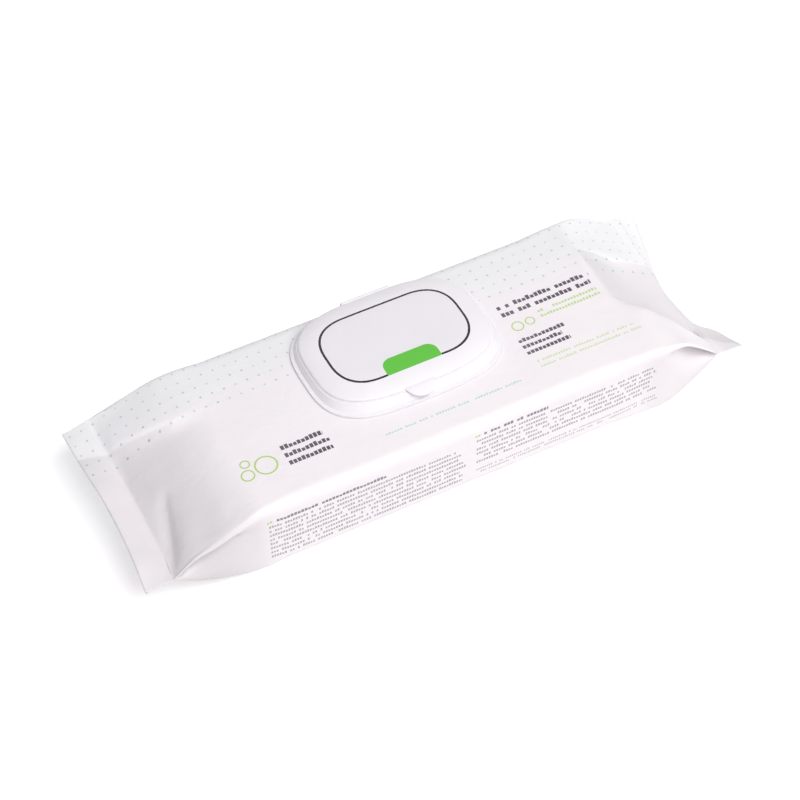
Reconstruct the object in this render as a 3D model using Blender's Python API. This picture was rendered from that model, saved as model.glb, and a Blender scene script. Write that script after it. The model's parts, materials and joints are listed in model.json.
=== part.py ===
"""Wet wipes pack with a flip lid, in metres, +Z up.

The pack lies flat on its long seam. X runs along the pack, Y across it with the
lid's hinge at the +Y side, and Z = 0 is the surface it lies on. The origin is the
middle of the underside.

Pieces: the film wrap with its crimped ends and side gussets, the stack of folded
wipes inside it, and the moulded flip lid, whose frame is glued to the film and
whose flap swings on a living hinge.
"""

import math

import bmesh
import bpy
from mathutils import Matrix, Vector

# Stack of folded wipes
STACK_LENGTH = 0.2315
STACK_WIDTH = 0.1004
STACK_HEIGHT = 0.0416
STACK_SHIFT = 0.003           # the stack has slid towards the right end of the wrap
FOLD_SEAM_WIDTH = 0.0012      # free edge of the top wipe, ready to pull
FOLD_SEAM_DEPTH = 0.0006

# Film wrap
FILM_WALL = 0.0004
FILM_EASE = 0.0004            # air between the wipes and the film
WRAP_LENGTH = 0.324
SEAL_DEPTH = 0.0145           # width of the crimped strip at each end
SEAL_THICKNESS = 0.0009
SEAL_HEIGHT = 0.0215          # usual height of the strip above the surface
SEAL_BEND = 0.004             # the strip turns to its own tilt over this length
CRIMP_DEPTH = 0.00022
CRIMP_RIDGES = 5
EDGE_RADIUS = 0.0050          # long edges of the body
SEAL_EDGE_RADIUS = 0.0009     # the same edges where they reach the seal
EDGE_SHARE = 0.2              # a long edge takes up no more of the height than this
GUSSET_DEPTH = 0.021          # how far the side is tucked in at the seal
GUSSET_FOLD = 0.6             # height of the tuck's fold line between underside and top
GUSSET_GAP = 0.0008           # height of the fold line at the bottom of the tuck
GUSSET_GAP_SHARE = 0.1        # the gap is no more of the height than this
GUSSET_CLOSE = 0.0025         # the tuck closes over this length before the seal
VOID_END = 0.008              # the film layers lie together this far before the seal
FIN_WIDTH = 0.014             # back seam, folded flat along the underside
FIN_GROOVE = 0.0015
FIN_STEP = 0.0005
FOLD_LIMIT = 0.0045           # no pressed fold stands out or in by more than this

# Where the slope, the tuck and the lift of the underside start at the left and the right
# end, as distances from the middle of the pack, and the power that each grows by
LEFT_SLOPE_START = 0.092
RIGHT_SLOPE_START = 0.100
LEFT_TUCK_START = 0.101
RIGHT_TUCK_START = 0.116
LEFT_LIFT_START = 0.097
RIGHT_LIFT_START = 0.116
SLOPE_START = (LEFT_SLOPE_START, RIGHT_SLOPE_START)
TUCK_START = (LEFT_TUCK_START, RIGHT_TUCK_START)
TUCK_SWEEP = (1.5, 1.2)
LIFT_START = (LEFT_LIFT_START, RIGHT_LIFT_START)
LIFT_SWEEP = (1.75, 1.5)

# How far the top film has come down, as a share of the way to the seal: five evenly
# spaced lines from the front edge to the back edge, each with six evenly spaced places
# from the slope's start to the seal. First the left end, then the right end.
DROPS = (
    (
        (0.0, 0.0, 0.20, 0.43, 0.63, 1.0),
        (0.0, 0.03, 0.18, 0.43, 0.71, 1.0),
        (0.0, 0.02, 0.155, 0.36, 0.63, 0.97),
        (0.0, 0.01, 0.09, 0.245, 0.47, 0.81),
        (0.0, 0.0, 0.065, 0.235, 0.43, 0.63),
    ),
    (
        (0.0, 0.0, 0.04, 0.13, 0.48, 0.90),
        (0.0, 0.0, 0.05, 0.29, 0.65, 1.04),
        (0.0, 0.015, 0.27, 0.55, 0.83, 1.14),
        (0.0, 0.01, 0.18, 0.39, 0.64, 0.90),
        (0.0, 0.0, 0.085, 0.23, 0.39, 0.57),
    ),
)

# How many degrees the sealed strip hangs down, evenly spaced from the front edge to the
# back edge. Below zero it stands up.
TILTS = (
    (4, -10, -17, -17, -15, -8, 0, 8, 12),
    (4, 20, 40, 55, 60, 59, 52, 37, 16),
)

# Folds pressed into the top film at each end. A point is (share of the way to the seal,
# share of the half width, height); then the fold's width on its left and on its right.
# Heights and widths are counted in FOLD_UNIT.
FOLD_UNIT = 0.001
FOLDS = (
    (
        (((0.13, 0.43, 0.2), (0.5, 0.49, 1.5), (0.9, 0.55, 1.5), (1.05, 0.57, 0.2)), 8, 4),
        (((0.13, 0.24, 0.0), (0.47, 0.29, -1.1), (0.86, 0.33, -1.0), (1.0, 0.33, 0.0)), 6, 9),
        (((0.7, -0.16, 0.0), (0.76, -0.31, -2.0), (0.84, -0.57, -3.2), (0.96, -0.98, -1.2)), 6, 3),
    ),
    (
        (((0.25, 0.55, 0.2), (0.53, 0.39, 1.5), (0.88, 0.31, 1.4), (1.03, 0.24, 0.2)), 5, 3),
        (((0.27, -0.08, -0.2), (0.4, -0.24, -1.7), (0.61, -0.41, -2.6),
          (0.91, -0.65, -1.8), (1.03, -0.71, 0.0)), 8, 3),
        (((0.25, 0.0, 0.2), (0.44, -0.41, 1.3), (0.76, -0.75, 1.7), (1.01, -0.88, 0.5)), 3, 6),
    ),
)

# Window cut in the film under the lid
WINDOW_HALF_LENGTH = 0.032
WINDOW_HALF_WIDTH = 0.0155

# Flip lid: outline of the glued frame
GLUE_GAP = 0.0003
LID_HALF_LENGTH = 0.0503
LID_HALF_WIDTH = 0.0364
LID_CENTRE_Y = 0.0112
LID_SQUARENESS = 3.2          # 2 is an ellipse, more is nearer a rectangle
FLANGE_THICKNESS = 0.0009
FLANGE_LIP = 0.0011
FLANGE_ROUND = 0.0002         # rise of the small round where the skirt leaves the flange
SKIRT_SIDE = 0.0038           # width of the sloping wall at the sides, front and back
SKIRT_FRONT = 0.0052
SKIRT_BACK = 0.0024
RIM_HEIGHT = 0.0050
RIM_CHAMFER = 0.0004
RIM_LAND = 0.0022
LID_WALL = 0.0010
SKIRT_WALL = 0.0012
TRAY_DRAFT = 0.0002           # slope of the tray's wall
TRAY_FLOOR = 0.0011
APERTURE_HALF_LENGTH = 0.036
APERTURE_HALF_WIDTH = 0.019
UPSTAND_HEIGHT = 0.0032

# Flap of the lid
FLAP_GAP = 0.0003             # running gap between the flap and the frame
FLAP_INSET = 0.0005           # the flap's edge stands back from the frame's rim
FLAP_EDGE = 0.0007
FLAP_WALL = 0.0011
FLAP_ROUND_RUN = 0.0004       # small round along the flap's edge
FLAP_ROUND_DROP = 0.00015
SHOULDER_RUN = 0.0040         # the flap's underside rises over this run to follow the top
DOME_RUN = 0.0180             # the top rises over this run from the flap's edge
DOME_RISE = 0.00265
DOME_POWER = 3.0
PLUG_CLEARANCE = 0.0006
PLUG_WALL = 0.0010
PLUG_ROOT = 0.0002            # the ceiling is this much lower outside the plug ring
PLUG_OVERLAP = 0.0008
TAB_HALF_WIDTH = 0.0084
TAB_REACH = 0.0062            # how far the thumb tab stands out of the flap's edge
TAB_DROP = 0.0015
HINGE_WIDTH = 0.027
HINGE_RISE = 0.0012           # top of the hinge block above the frame's rim
HINGE_BLOCK = 0.0009
HINGE_CLEARANCE = 0.00015     # from the hinge line to the flap and to its block

# Fineness of the curved forms
ACROSS = 9
CORNER_STEPS = 3
END_STEPS = 12
RING_POINTS = 64
DOME_RINGS = (0.12, 0.25, 0.42, 0.66, 1.0)
TAB_POINTS = 28
SHARP_DEGREES = 30
TINY = 0.000001               # lengths closer than this count as the same
OVERLAP = 0.001               # how far joined shapes and cutters run into each other

BODY_WIDTH = STACK_WIDTH + 2 * (FILM_EASE + FILM_WALL)
BODY_HEIGHT = STACK_HEIGHT + 2 * (FILM_EASE + FILM_WALL)
SEAL_INNER = WRAP_LENGTH / 2 - SEAL_DEPTH
LID_BASE = BODY_HEIGHT + GLUE_GAP
FLAP_BASE = LID_BASE + RIM_HEIGHT + FLAP_GAP


def clear_scene():
    """Empties the file of objects."""
    for old in list(bpy.data.objects):
        bpy.data.objects.remove(old, do_unlink=True)


def make_material(name, color, roughness):
    """A plain plastic or cloth finish."""
    material = bpy.data.materials.new(name)
    material.use_nodes = True
    shader = material.node_tree.nodes["Principled BSDF"]
    shader.inputs["Base Color"].default_value = (*color, 1.0)
    shader.inputs["Roughness"].default_value = roughness
    shader.inputs["Metallic"].default_value = 0.0
    material.diffuse_color = (*color, 1.0)
    return material


def add_object(name, bm, material=None):
    """Turns a closed bmesh into a named object with its faces pointing outwards."""
    if bm.calc_volume(signed=True) < 0:
        bmesh.ops.reverse_faces(bm, faces=bm.faces)
    mesh = bpy.data.meshes.new(name)
    bm.to_mesh(mesh)
    bm.free()
    mesh.shade_smooth()
    mesh.set_sharp_from_angle(angle=math.radians(SHARP_DEGREES))
    made = bpy.data.objects.new(name, mesh)
    bpy.context.scene.collection.objects.link(made)
    if material:
        mesh.materials.append(material)
    return made


def add_cutter(name, bm):
    """A helper shape that a Boolean uses and that isn't part of the pack."""
    cutter = add_object(name, bm)
    cutter.hide_render = True
    cutter.display_type = "WIRE"
    return cutter


def add_boolean(target, tool, operation):
    """Joins or cuts one shape with another."""
    step = target.modifiers.new(tool.name, "BOOLEAN")
    step.operation = operation
    step.solver = "EXACT"
    step.object = tool


def skin_rings(bm, rings, closed):
    """Skins equal rings of points with quads. A closed skin runs back to its first ring."""
    loops = [[bm.verts.new(point) for point in ring] for ring in rings]
    pairs = list(zip(loops, loops[1:]))
    if closed:
        pairs.append((loops[-1], loops[0]))
    for near, far in pairs:
        for i, start in enumerate(near):
            nxt = (i + 1) % len(near)
            bm.faces.new((start, near[nxt], far[nxt], far[i]))
    return loops


def loft(rings):
    """A closed solid through the rings, with its two ends filled."""
    bm = bmesh.new()
    loops = skin_rings(bm, rings, closed=False)
    bm.faces.new(loops[0][::-1])
    bm.faces.new(loops[-1])
    return bm


def fill_strip_end(bm, ring, top_count):
    """Fills the end of a thin strip with triangles between its top and its underside. The
    ring's first points run along the top from the front edge to the back edge."""
    top = ring[:top_count]
    under = ring[top_count:][::-1]
    i, j = 0, 0
    while i < len(top) - 1 or j < len(under) - 1:
        top_next = top[i + 1].co.y if i < len(top) - 1 else math.inf
        under_next = under[j + 1].co.y if j < len(under) - 1 else math.inf
        if top_next <= under_next:
            bm.faces.new((top[i], top[i + 1], under[j]))
            i += 1
        else:
            bm.faces.new((top[i], under[j + 1], under[j]))
            j += 1


def stack_end(side):
    """Distance from the middle of the pack to the stack's end at this side."""
    return STACK_LENGTH / 2 + side * STACK_SHIFT


def end_of(x):
    """Which of the two ends a place belongs to: 0 is the left one, 1 the right one."""
    return 1 if x > 0 else 0


def curve(values, share):
    """A smooth line through evenly spaced values, at a share of its length."""
    steps = len(values) - 1
    place = min(max(share, 0.0), 1.0) * steps
    i = min(int(place), steps - 1)
    t = place - i
    low, high = values[i], values[i + 1]
    before = values[max(i - 1, 0)]
    after = values[min(i + 2, steps)]
    slope_in = (high - before) / 2 if i else high - low
    slope_out = (after - low) / 2 if i < steps - 1 else high - low
    square, cube = t * t, t * t * t
    return ((2 * cube - 3 * square + 1) * low + (cube - 2 * square + t) * slope_in
            + (3 * square - 2 * cube) * high + (cube - square) * slope_out)


def grown(reach, start, power=1.0):
    """0 at the start, 1 where the seal begins."""
    return min(max((reach - start) / (SEAL_INNER - start), 0.0), 1.0) ** power


def fold_height(point, fold):
    """Height that one pressed fold gives at a point (share to the seal, share across)."""
    line, left, right = fold
    scale = Vector((SEAL_INNER - min(SLOPE_START), BODY_WIDTH / 2))
    here = point * scale
    nearest = None
    for (x0, y0, h0), (x1, y1, h1) in zip(line, line[1:]):
        start = Vector((x0, y0)) * scale
        along = Vector((x1, y1)) * scale - start
        out = here - start
        share = min(max(out.dot(along) / along.length_squared, 0.0), 1.0)
        away = (out - along * share).length
        if nearest is None or away < nearest[0]:
            turn = (along.x * out.y - along.y * out.x) / (along.length * max(away, TINY))
            lean = (1 + min(max(turn, -1.0), 1.0)) / 2
            nearest = (away, h0 + (h1 - h0) * share, right + (left - right) * lean)
    away, height, width = nearest
    return FOLD_UNIT * height * math.exp(-(away / (FOLD_UNIT * width)) ** 2)


def top_height(x, y):
    """Height of the top film: flat over the wipes, then down to the seal with its folds."""
    end = end_of(x)
    share = grown(abs(x), SLOPE_START[end])
    if share == 0.0:
        return BODY_HEIGHT
    across = y / BODY_WIDTH + 0.5
    drop = curve([curve(line, share) for line in DROPS[end]], across)
    here = Vector((share, 2 * y / BODY_WIDTH))
    folds = sum(fold_height(here, fold) for fold in FOLDS[end])
    folds = min(max(folds, -FOLD_LIMIT), FOLD_LIMIT)
    return min(BODY_HEIGHT - drop * (BODY_HEIGHT - SEAL_HEIGHT) + folds, BODY_HEIGHT)


def low_height(x, y):
    """Height of the underside: flat, then up to the seal."""
    end = end_of(x)
    seal = top_height(math.copysign(SEAL_INNER, x), y) - SEAL_THICKNESS
    return seal * grown(abs(x), LIFT_START[end], LIFT_SWEEP[end])


def half_section(x, side):
    """One half of the wrap's outline at x, from the middle of the top to the middle of
    the underside, as (y, z) points. The side is tucked in between its two corners. In
    the seal the outline is that of a flat strip and z is measured from its middle."""
    end = end_of(x)
    reach = abs(x)
    half = BODY_WIDTH / 2
    sealed = reach >= SEAL_INNER - TINY

    def top(y):
        return SEAL_THICKNESS / 2 if sealed else top_height(x, side * y)

    def low(y):
        return -SEAL_THICKNESS / 2 if sealed else low_height(x, side * y)

    room = top(half) - low(half)
    round_off = EDGE_RADIUS + (SEAL_EDGE_RADIUS - EDGE_RADIUS) * grown(reach, min(SLOPE_START))
    round_off = min(round_off, room * EDGE_SHARE)
    tuck = 0.0 if sealed else GUSSET_DEPTH * grown(reach, TUCK_START[end], TUCK_SWEEP[end])
    step = 0.0 if sealed else FIN_STEP * (1 - grown(reach, LIFT_START[end]))
    room_in = top(half - tuck) - low(half - tuck)
    fold = min(GUSSET_GAP, room_in * GUSSET_GAP_SHARE) / 2
    middle = low(half - tuck) + room_in * (0.5 if sealed else GUSSET_FOLD)
    flat = half - round_off
    points = [(flat * k / ACROSS, top(flat * k / ACROSS)) for k in range(ACROSS + 1)]
    for k in range(1, CORNER_STEPS + 1):
        angle = math.pi / 2 * (1 - k / CORNER_STEPS)
        y = half - round_off * (1 - math.cos(angle))
        points.append((y, top(y) - round_off * (1 - math.sin(angle))))
    points.append((half - tuck, middle + fold))
    points.append((half - tuck, middle - fold))
    for k in range(CORNER_STEPS + 1):
        angle = math.pi / 2 * k / CORNER_STEPS
        y = half - round_off * (1 - math.cos(angle))
        points.append((y, low(y) + round_off * (1 - math.sin(angle))))
    fin = FIN_WIDTH / 2
    groove_edge = fin + FIN_GROOVE
    for y in spaced(flat, groove_edge, ACROSS - 2)[1:]:
        points.append((y, low(y)))
    points.append((groove_edge - FIN_STEP, low(groove_edge) + step))
    points.append((fin + FIN_STEP, low(fin) + step))
    points.append((fin, low(fin)))
    points.append((0.0, low(0.0)))
    return points


def inset_outline(points, depth):
    """The outline moved inwards by depth, with mitred corners. Points run clockwise."""
    if depth == 0.0:
        return points
    count = len(points)
    moved = []
    for i, point in enumerate(points):
        here = Vector(point)
        before = (here - Vector(points[i - 1])).normalized()
        after = (Vector(points[(i + 1) % count]) - here).normalized()
        inward = Vector((before.y + after.y, -before.x - after.x)) / (1 + before.dot(after))
        moved.append(tuple(here + inward * depth))
    return moved


def strip_point(x, y, offset):
    """A point of the sealed strip, tilted about the line where the seal begins."""
    end = end_of(x)
    out = abs(x) - SEAL_INNER
    tilt = math.radians(curve(TILTS[end], y / BODY_WIDTH + 0.5)) * min(out / SEAL_BEND, 1.0)
    ridge = round(out / (SEAL_DEPTH / (2 * CRIMP_RIDGES))) % 2
    offset -= CRIMP_DEPTH * ridge
    middle = top_height(math.copysign(SEAL_INNER, x), y) - SEAL_THICKNESS / 2
    reach = SEAL_INNER + out * math.cos(tilt) + offset * math.sin(tilt)
    return (math.copysign(reach, x), y, middle - out * math.sin(tilt) + offset * math.cos(tilt))


def wrap_ring(x, depth=0.0):
    """The whole outline of the wrap at x, moved inwards by depth, as points in space."""
    back = half_section(x, 1)
    front = [(-y, z) for y, z in reversed(half_section(x, -1)[1:-1])]
    outline = inset_outline(back + front, depth)
    if abs(x) >= SEAL_INNER - TINY:
        return [strip_point(x, y, z) for y, z in outline]
    return [(x, y, z) for y, z in outline]


def spaced(start, stop, steps):
    """Evenly spaced stations from start to stop, both included."""
    return [start + (stop - start) * k / steps for k in range(steps + 1)]


def end_stations(side):
    """Stations from where the top's slope starts to where the film layers meet, as
    distances from the middle of the pack. One of them is the stack's end."""
    end = stack_end(side)
    run = spaced(SLOPE_START[end_of(side)], SEAL_INNER - VOID_END, END_STEPS)
    return sorted([reach for reach in run if abs(reach - end) > OVERLAP] + [end])


def wrap_stations(with_seal):
    """All stations of a loft along the pack, from the left end to the right."""
    stations = []
    for side in (-1, 1):
        run = end_stations(side)
        if with_seal:
            run.append(SEAL_INNER - GUSSET_CLOSE)
            run += spaced(SEAL_INNER, WRAP_LENGTH / 2, 2 * CRIMP_RIDGES)
        run = [side * reach for reach in run]
        stations += run if side > 0 else run[::-1]
    return stations


def superellipse(half_length, half_width, centre_y, z):
    """A ring of points on the lid's rounded outline at height z."""
    ring = []
    for k in range(RING_POINTS):
        angle = 2 * math.pi * k / RING_POINTS
        c = math.cos(angle)
        s = math.sin(angle)
        x = half_length * math.copysign(abs(c) ** (2 / LID_SQUARENESS), c)
        y = half_width * math.copysign(abs(s) ** (2 / LID_SQUARENESS), s)
        ring.append((x, centre_y + y, z))
    return ring


def shrunk(outline, side, front=None, back=None):
    """An outline (half length, half width, centre) moved in at its sides, front and back."""
    half_length, half_width, centre = outline
    front = side if front is None else front
    back = side if back is None else back
    return (half_length - side, half_width - (front + back) / 2, centre + (front - back) / 2)


FRAME_OUTLINE = (LID_HALF_LENGTH, LID_HALF_WIDTH, LID_CENTRE_Y)
RIM_OUTLINE = shrunk(FRAME_OUTLINE, SKIRT_SIDE, SKIRT_FRONT, SKIRT_BACK)
RIM_CENTRE_Y = RIM_OUTLINE[2]
APERTURE = (APERTURE_HALF_LENGTH, APERTURE_HALF_WIDTH, RIM_CENTRE_Y)
FLAP_OUTLINE = shrunk(RIM_OUTLINE, FLAP_INSET)
FLAP_FRONT_Y = FLAP_OUTLINE[2] - FLAP_OUTLINE[1]
FLAP_BACK_Y = FLAP_OUTLINE[2] + FLAP_OUTLINE[1]
HINGE_Y = FLAP_BACK_Y + HINGE_CLEARANCE
HINGE_Z = LID_BASE + RIM_HEIGHT + HINGE_RISE


def build_stack(material):
    """The folded wipes: they fill the wrap, are squeezed by it at their ends, and show
    the free edge of the top wipe under the window."""
    depth = FILM_WALL + FILM_EASE
    stations = []
    for side in (-1, 1):
        run = [reach for reach in end_stations(side) if reach <= stack_end(side)]
        run = [side * reach for reach in run]
        stations += run if side > 0 else run[::-1]
    stack = add_object("wipes_stack", loft([wrap_ring(x, depth) for x in stations]), material)
    seam = bmesh.new()
    bmesh.ops.create_cube(seam, size=1.0)
    bmesh.ops.scale(seam, verts=seam.verts, vec=(STACK_LENGTH * 2, FOLD_SEAM_WIDTH, FOLD_SEAM_DEPTH * 2))
    top = BODY_HEIGHT - depth
    bmesh.ops.translate(seam, verts=seam.verts, vec=(0.0, RIM_CENTRE_Y, top))
    add_boolean(stack, add_cutter("cut_fold_seam", seam), "DIFFERENCE")
    return stack


def build_wrap(material):
    """The film: a tube with tucked sides, pressed flat into a crimped strip at each end,
    hollow inside and cut open under the lid."""
    outer = bmesh.new()
    rings = skin_rings(outer, [wrap_ring(x) for x in wrap_stations(with_seal=True)], closed=False)
    top_half = ACROSS + CORNER_STEPS
    for ring in (rings[0], rings[-1]):
        fill_strip_end(outer, ring[-top_half:] + ring[:-top_half], 2 * top_half + 1)
    bmesh.ops.recalc_face_normals(outer, faces=outer.faces)
    wrap = add_object("film_wrap", outer, material)
    inner = [wrap_ring(x, FILM_WALL) for x in wrap_stations(with_seal=False)]
    hollow = add_cutter("cut_film_inside", loft(inner))
    heights = (BODY_HEIGHT - FILM_WALL - OVERLAP, BODY_HEIGHT + OVERLAP)
    opening = [superellipse(WINDOW_HALF_LENGTH, WINDOW_HALF_WIDTH, RIM_CENTRE_Y, z) for z in heights]
    add_boolean(hollow, add_cutter("cut_window", loft(opening)), "UNION")
    add_boolean(wrap, hollow, "DIFFERENCE")
    return wrap


def build_frame(material):
    """The moulded frame: glued flange, sloping skirt, rim, tray and the upstand round the
    aperture, hollow under its rim, with the hinge block at the back."""
    skirt_root = shrunk(FRAME_OUTLINE, FLANGE_LIP)
    skirt_inside = shrunk(skirt_root, SKIRT_WALL)
    tray_edge = shrunk(RIM_OUTLINE, RIM_LAND + TRAY_DRAFT)
    hollow_edge = shrunk(tray_edge, -LID_WALL)
    upstand = shrunk(APERTURE, -LID_WALL)
    profile = [
        (FRAME_OUTLINE, 0.0),
        (FRAME_OUTLINE, FLANGE_THICKNESS),
        (skirt_root, FLANGE_THICKNESS + FLANGE_ROUND),
        (RIM_OUTLINE, RIM_HEIGHT - RIM_CHAMFER),
        (shrunk(RIM_OUTLINE, RIM_CHAMFER), RIM_HEIGHT),
        (shrunk(RIM_OUTLINE, RIM_LAND), RIM_HEIGHT),
        (tray_edge, TRAY_FLOOR),
        (upstand, TRAY_FLOOR),
        (upstand, UPSTAND_HEIGHT),
        (APERTURE, UPSTAND_HEIGHT),
        (APERTURE, 0.0),
        (hollow_edge, 0.0),
        (hollow_edge, RIM_HEIGHT - LID_WALL),
        (shrunk(RIM_OUTLINE, LID_WALL), RIM_HEIGHT - LID_WALL),
        (skirt_inside, 0.0),
    ]
    bm = bmesh.new()
    skin_rings(bm, [superellipse(*outline, LID_BASE + z) for outline, z in profile], closed=True)
    frame = add_object("lid_frame", bm, material)

    front = HINGE_Y + HINGE_CLEARANCE
    back = front + HINGE_BLOCK
    root = LID_CENTRE_Y + LID_HALF_WIDTH - FLANGE_LIP / 2
    side_view = [
        (front, LID_BASE + RIM_HEIGHT - OVERLAP),
        (front, HINGE_Z),
        (back - HINGE_BLOCK / 3, HINGE_Z),
        (back, HINGE_Z - HINGE_BLOCK / 2),
        (root, LID_BASE + FLANGE_THICKNESS / 2),
        (root - FLANGE_LIP, LID_BASE + FLANGE_THICKNESS / 2),
    ]
    ends = [[(x, y, z) for y, z in side_view] for x in (-HINGE_WIDTH / 2, HINGE_WIDTH / 2)]
    add_boolean(frame, add_cutter("join_hinge_block", loft(ends)), "UNION")
    return frame


def dome_rise(run):
    """Height of the flap's domed top this far in from its edge."""
    share = min(run / DOME_RUN, 1.0)
    return DOME_RISE * (1 - (1 - share) ** DOME_POWER)


def build_flap(material):
    """The domed flap: thin edge, a plug ring that seals round the aperture, and the thumb
    tab at the front. Its origin is on the hinge line."""
    edge = FLAP_OUTLINE
    top = FLAP_BASE + FLAP_EDGE
    plug_inner = shrunk(APERTURE, -LID_WALL - PLUG_CLEARANCE)
    plug_outer = shrunk(plug_inner, -PLUG_WALL)
    plug_foot = LID_BASE + UPSTAND_HEIGHT - PLUG_OVERLAP
    ceiling = top + dome_rise(DOME_RUN / 2) - FLAP_WALL
    rings = [
        (shrunk(edge, DOME_RUN), top + DOME_RISE - FLAP_WALL),
        (plug_inner, ceiling),
        (plug_inner, plug_foot),
        (plug_outer, plug_foot),
        (plug_outer, ceiling - PLUG_ROOT),
        (shrunk(edge, SHOULDER_RUN), top + dome_rise(SHOULDER_RUN) - FLAP_WALL),
        (shrunk(edge, RIM_LAND / 2), FLAP_BASE),
        (edge, FLAP_BASE),
        (edge, top - FLAP_ROUND_DROP),
        (shrunk(edge, FLAP_ROUND_RUN), top + dome_rise(FLAP_ROUND_RUN)),
    ]
    rings += [(shrunk(edge, DOME_RUN * share), top + dome_rise(DOME_RUN * share)) for share in DOME_RINGS]
    flap = add_object("lid_flap", loft([superellipse(*outline, z) for outline, z in rings]), material)

    tab = bmesh.new()
    bmesh.ops.create_circle(tab, cap_ends=True, segments=TAB_POINTS, radius=TAB_HALF_WIDTH)
    tip = FLAP_FRONT_Y - TAB_REACH
    bmesh.ops.translate(tab, verts=tab.verts, vec=(0.0, tip + TAB_HALF_WIDTH, FLAP_BASE))
    raised = bmesh.ops.extrude_face_region(tab, geom=tab.faces[:])
    lifted = [item for item in raised["geom"] if isinstance(item, bmesh.types.BMVert)]
    bmesh.ops.translate(tab, verts=lifted, vec=(0.0, 0.0, FLAP_WALL))
    bend = FLAP_FRONT_Y - FLAP_INSET
    whole = tab.verts[:] + tab.edges[:] + tab.faces[:]
    bmesh.ops.bisect_plane(tab, geom=whole, plane_co=(0.0, bend, 0.0), plane_no=(0.0, 1.0, 0.0))
    for vert in tab.verts:
        share = max(bend - vert.co.y, 0.0) / (bend - tip)
        vert.co.z -= TAB_DROP * share
    add_boolean(flap, add_cutter("join_thumb_tab", tab), "UNION")

    hinge = Vector((0.0, HINGE_Y, HINGE_Z))
    flap.data.transform(Matrix.Translation(-hinge))
    flap.location = hinge
    return flap


def build_pack():
    """All pieces of the pack."""
    film = make_material("printed_film", (0.93, 0.92, 0.94), 0.28)
    cloth = make_material("wet_nonwoven", (0.95, 0.95, 0.94), 0.85)
    lid = make_material("white_lid_plastic", (0.94, 0.93, 0.95), 0.3)
    build_stack(cloth)
    build_wrap(film)
    build_frame(lid)
    build_flap(lid)


clear_scene()
build_pack()
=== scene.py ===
"""Looks of a pack of wet wipes with a flip lid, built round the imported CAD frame.

X runs along the pack, Y across it with the lid's hinge at the +Y side, Z is up.
Film coordinates are the printer's: U along the pack and V round it from the middle
of the top, both in metres, held in the film's UV map.
"""

import json
import math

import bmesh
import bpy
from mathutils import Matrix, Vector, noise


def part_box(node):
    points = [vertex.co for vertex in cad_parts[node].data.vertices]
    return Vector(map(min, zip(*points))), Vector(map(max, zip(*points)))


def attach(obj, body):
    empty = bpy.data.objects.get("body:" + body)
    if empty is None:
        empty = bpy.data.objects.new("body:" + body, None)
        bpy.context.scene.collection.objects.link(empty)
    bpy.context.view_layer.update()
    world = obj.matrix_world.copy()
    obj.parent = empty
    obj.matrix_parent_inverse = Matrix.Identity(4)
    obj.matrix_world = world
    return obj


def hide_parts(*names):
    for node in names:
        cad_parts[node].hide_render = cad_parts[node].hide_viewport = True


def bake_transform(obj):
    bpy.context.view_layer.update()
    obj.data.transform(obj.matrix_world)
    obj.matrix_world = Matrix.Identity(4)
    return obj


bl_info = {
    "name": "Wet Wipes Pack",
    "version": (1, 0, 0),
    "blender": (4, 5, 0),
    "location": "View3D > Sidebar > Wipes Pack",
    "description": "Builds the looks of a wet wipes pack round its CAD frame",
    "category": "Add Mesh",
}

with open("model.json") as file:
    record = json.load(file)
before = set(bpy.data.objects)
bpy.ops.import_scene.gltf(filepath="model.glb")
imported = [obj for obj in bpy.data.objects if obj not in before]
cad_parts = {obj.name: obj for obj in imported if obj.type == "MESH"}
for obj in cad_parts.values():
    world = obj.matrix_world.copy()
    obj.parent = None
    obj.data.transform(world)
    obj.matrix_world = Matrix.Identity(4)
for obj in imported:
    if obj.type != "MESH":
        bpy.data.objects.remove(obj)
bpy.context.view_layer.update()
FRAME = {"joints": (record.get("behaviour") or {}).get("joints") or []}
FILM_LOW, FILM_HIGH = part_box("film_wrap")
STACK_LOW, STACK_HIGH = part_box("wipes_stack")
FRAME_LOW, FRAME_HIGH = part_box("lid_frame")
HINGE = Vector(FRAME["joints"][0]["pos_m"])

MM = 0.001

# Film form, read off the photograph where it is crumpled
HALF_LENGTH = (FILM_HIGH.x - FILM_LOW.x) / 2
HALF_WIDTH = FILM_HIGH.y
TOP = FILM_HIGH.z
SEAL_DEPTH = 14.5 * MM
SEAL_INNER = HALF_LENGTH - SEAL_DEPTH
SEAL_HEIGHT = 21.5 * MM
SEAL_THICKNESS = 0.9 * MM
EDGE_RADIUS = 5.5 * MM
FOLD_RADIUS = 0.7 * MM
TUCK_DEPTH = 21 * MM
FIN_HALF = 7 * MM
FIN_STEP = 0.5 * MM

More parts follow.
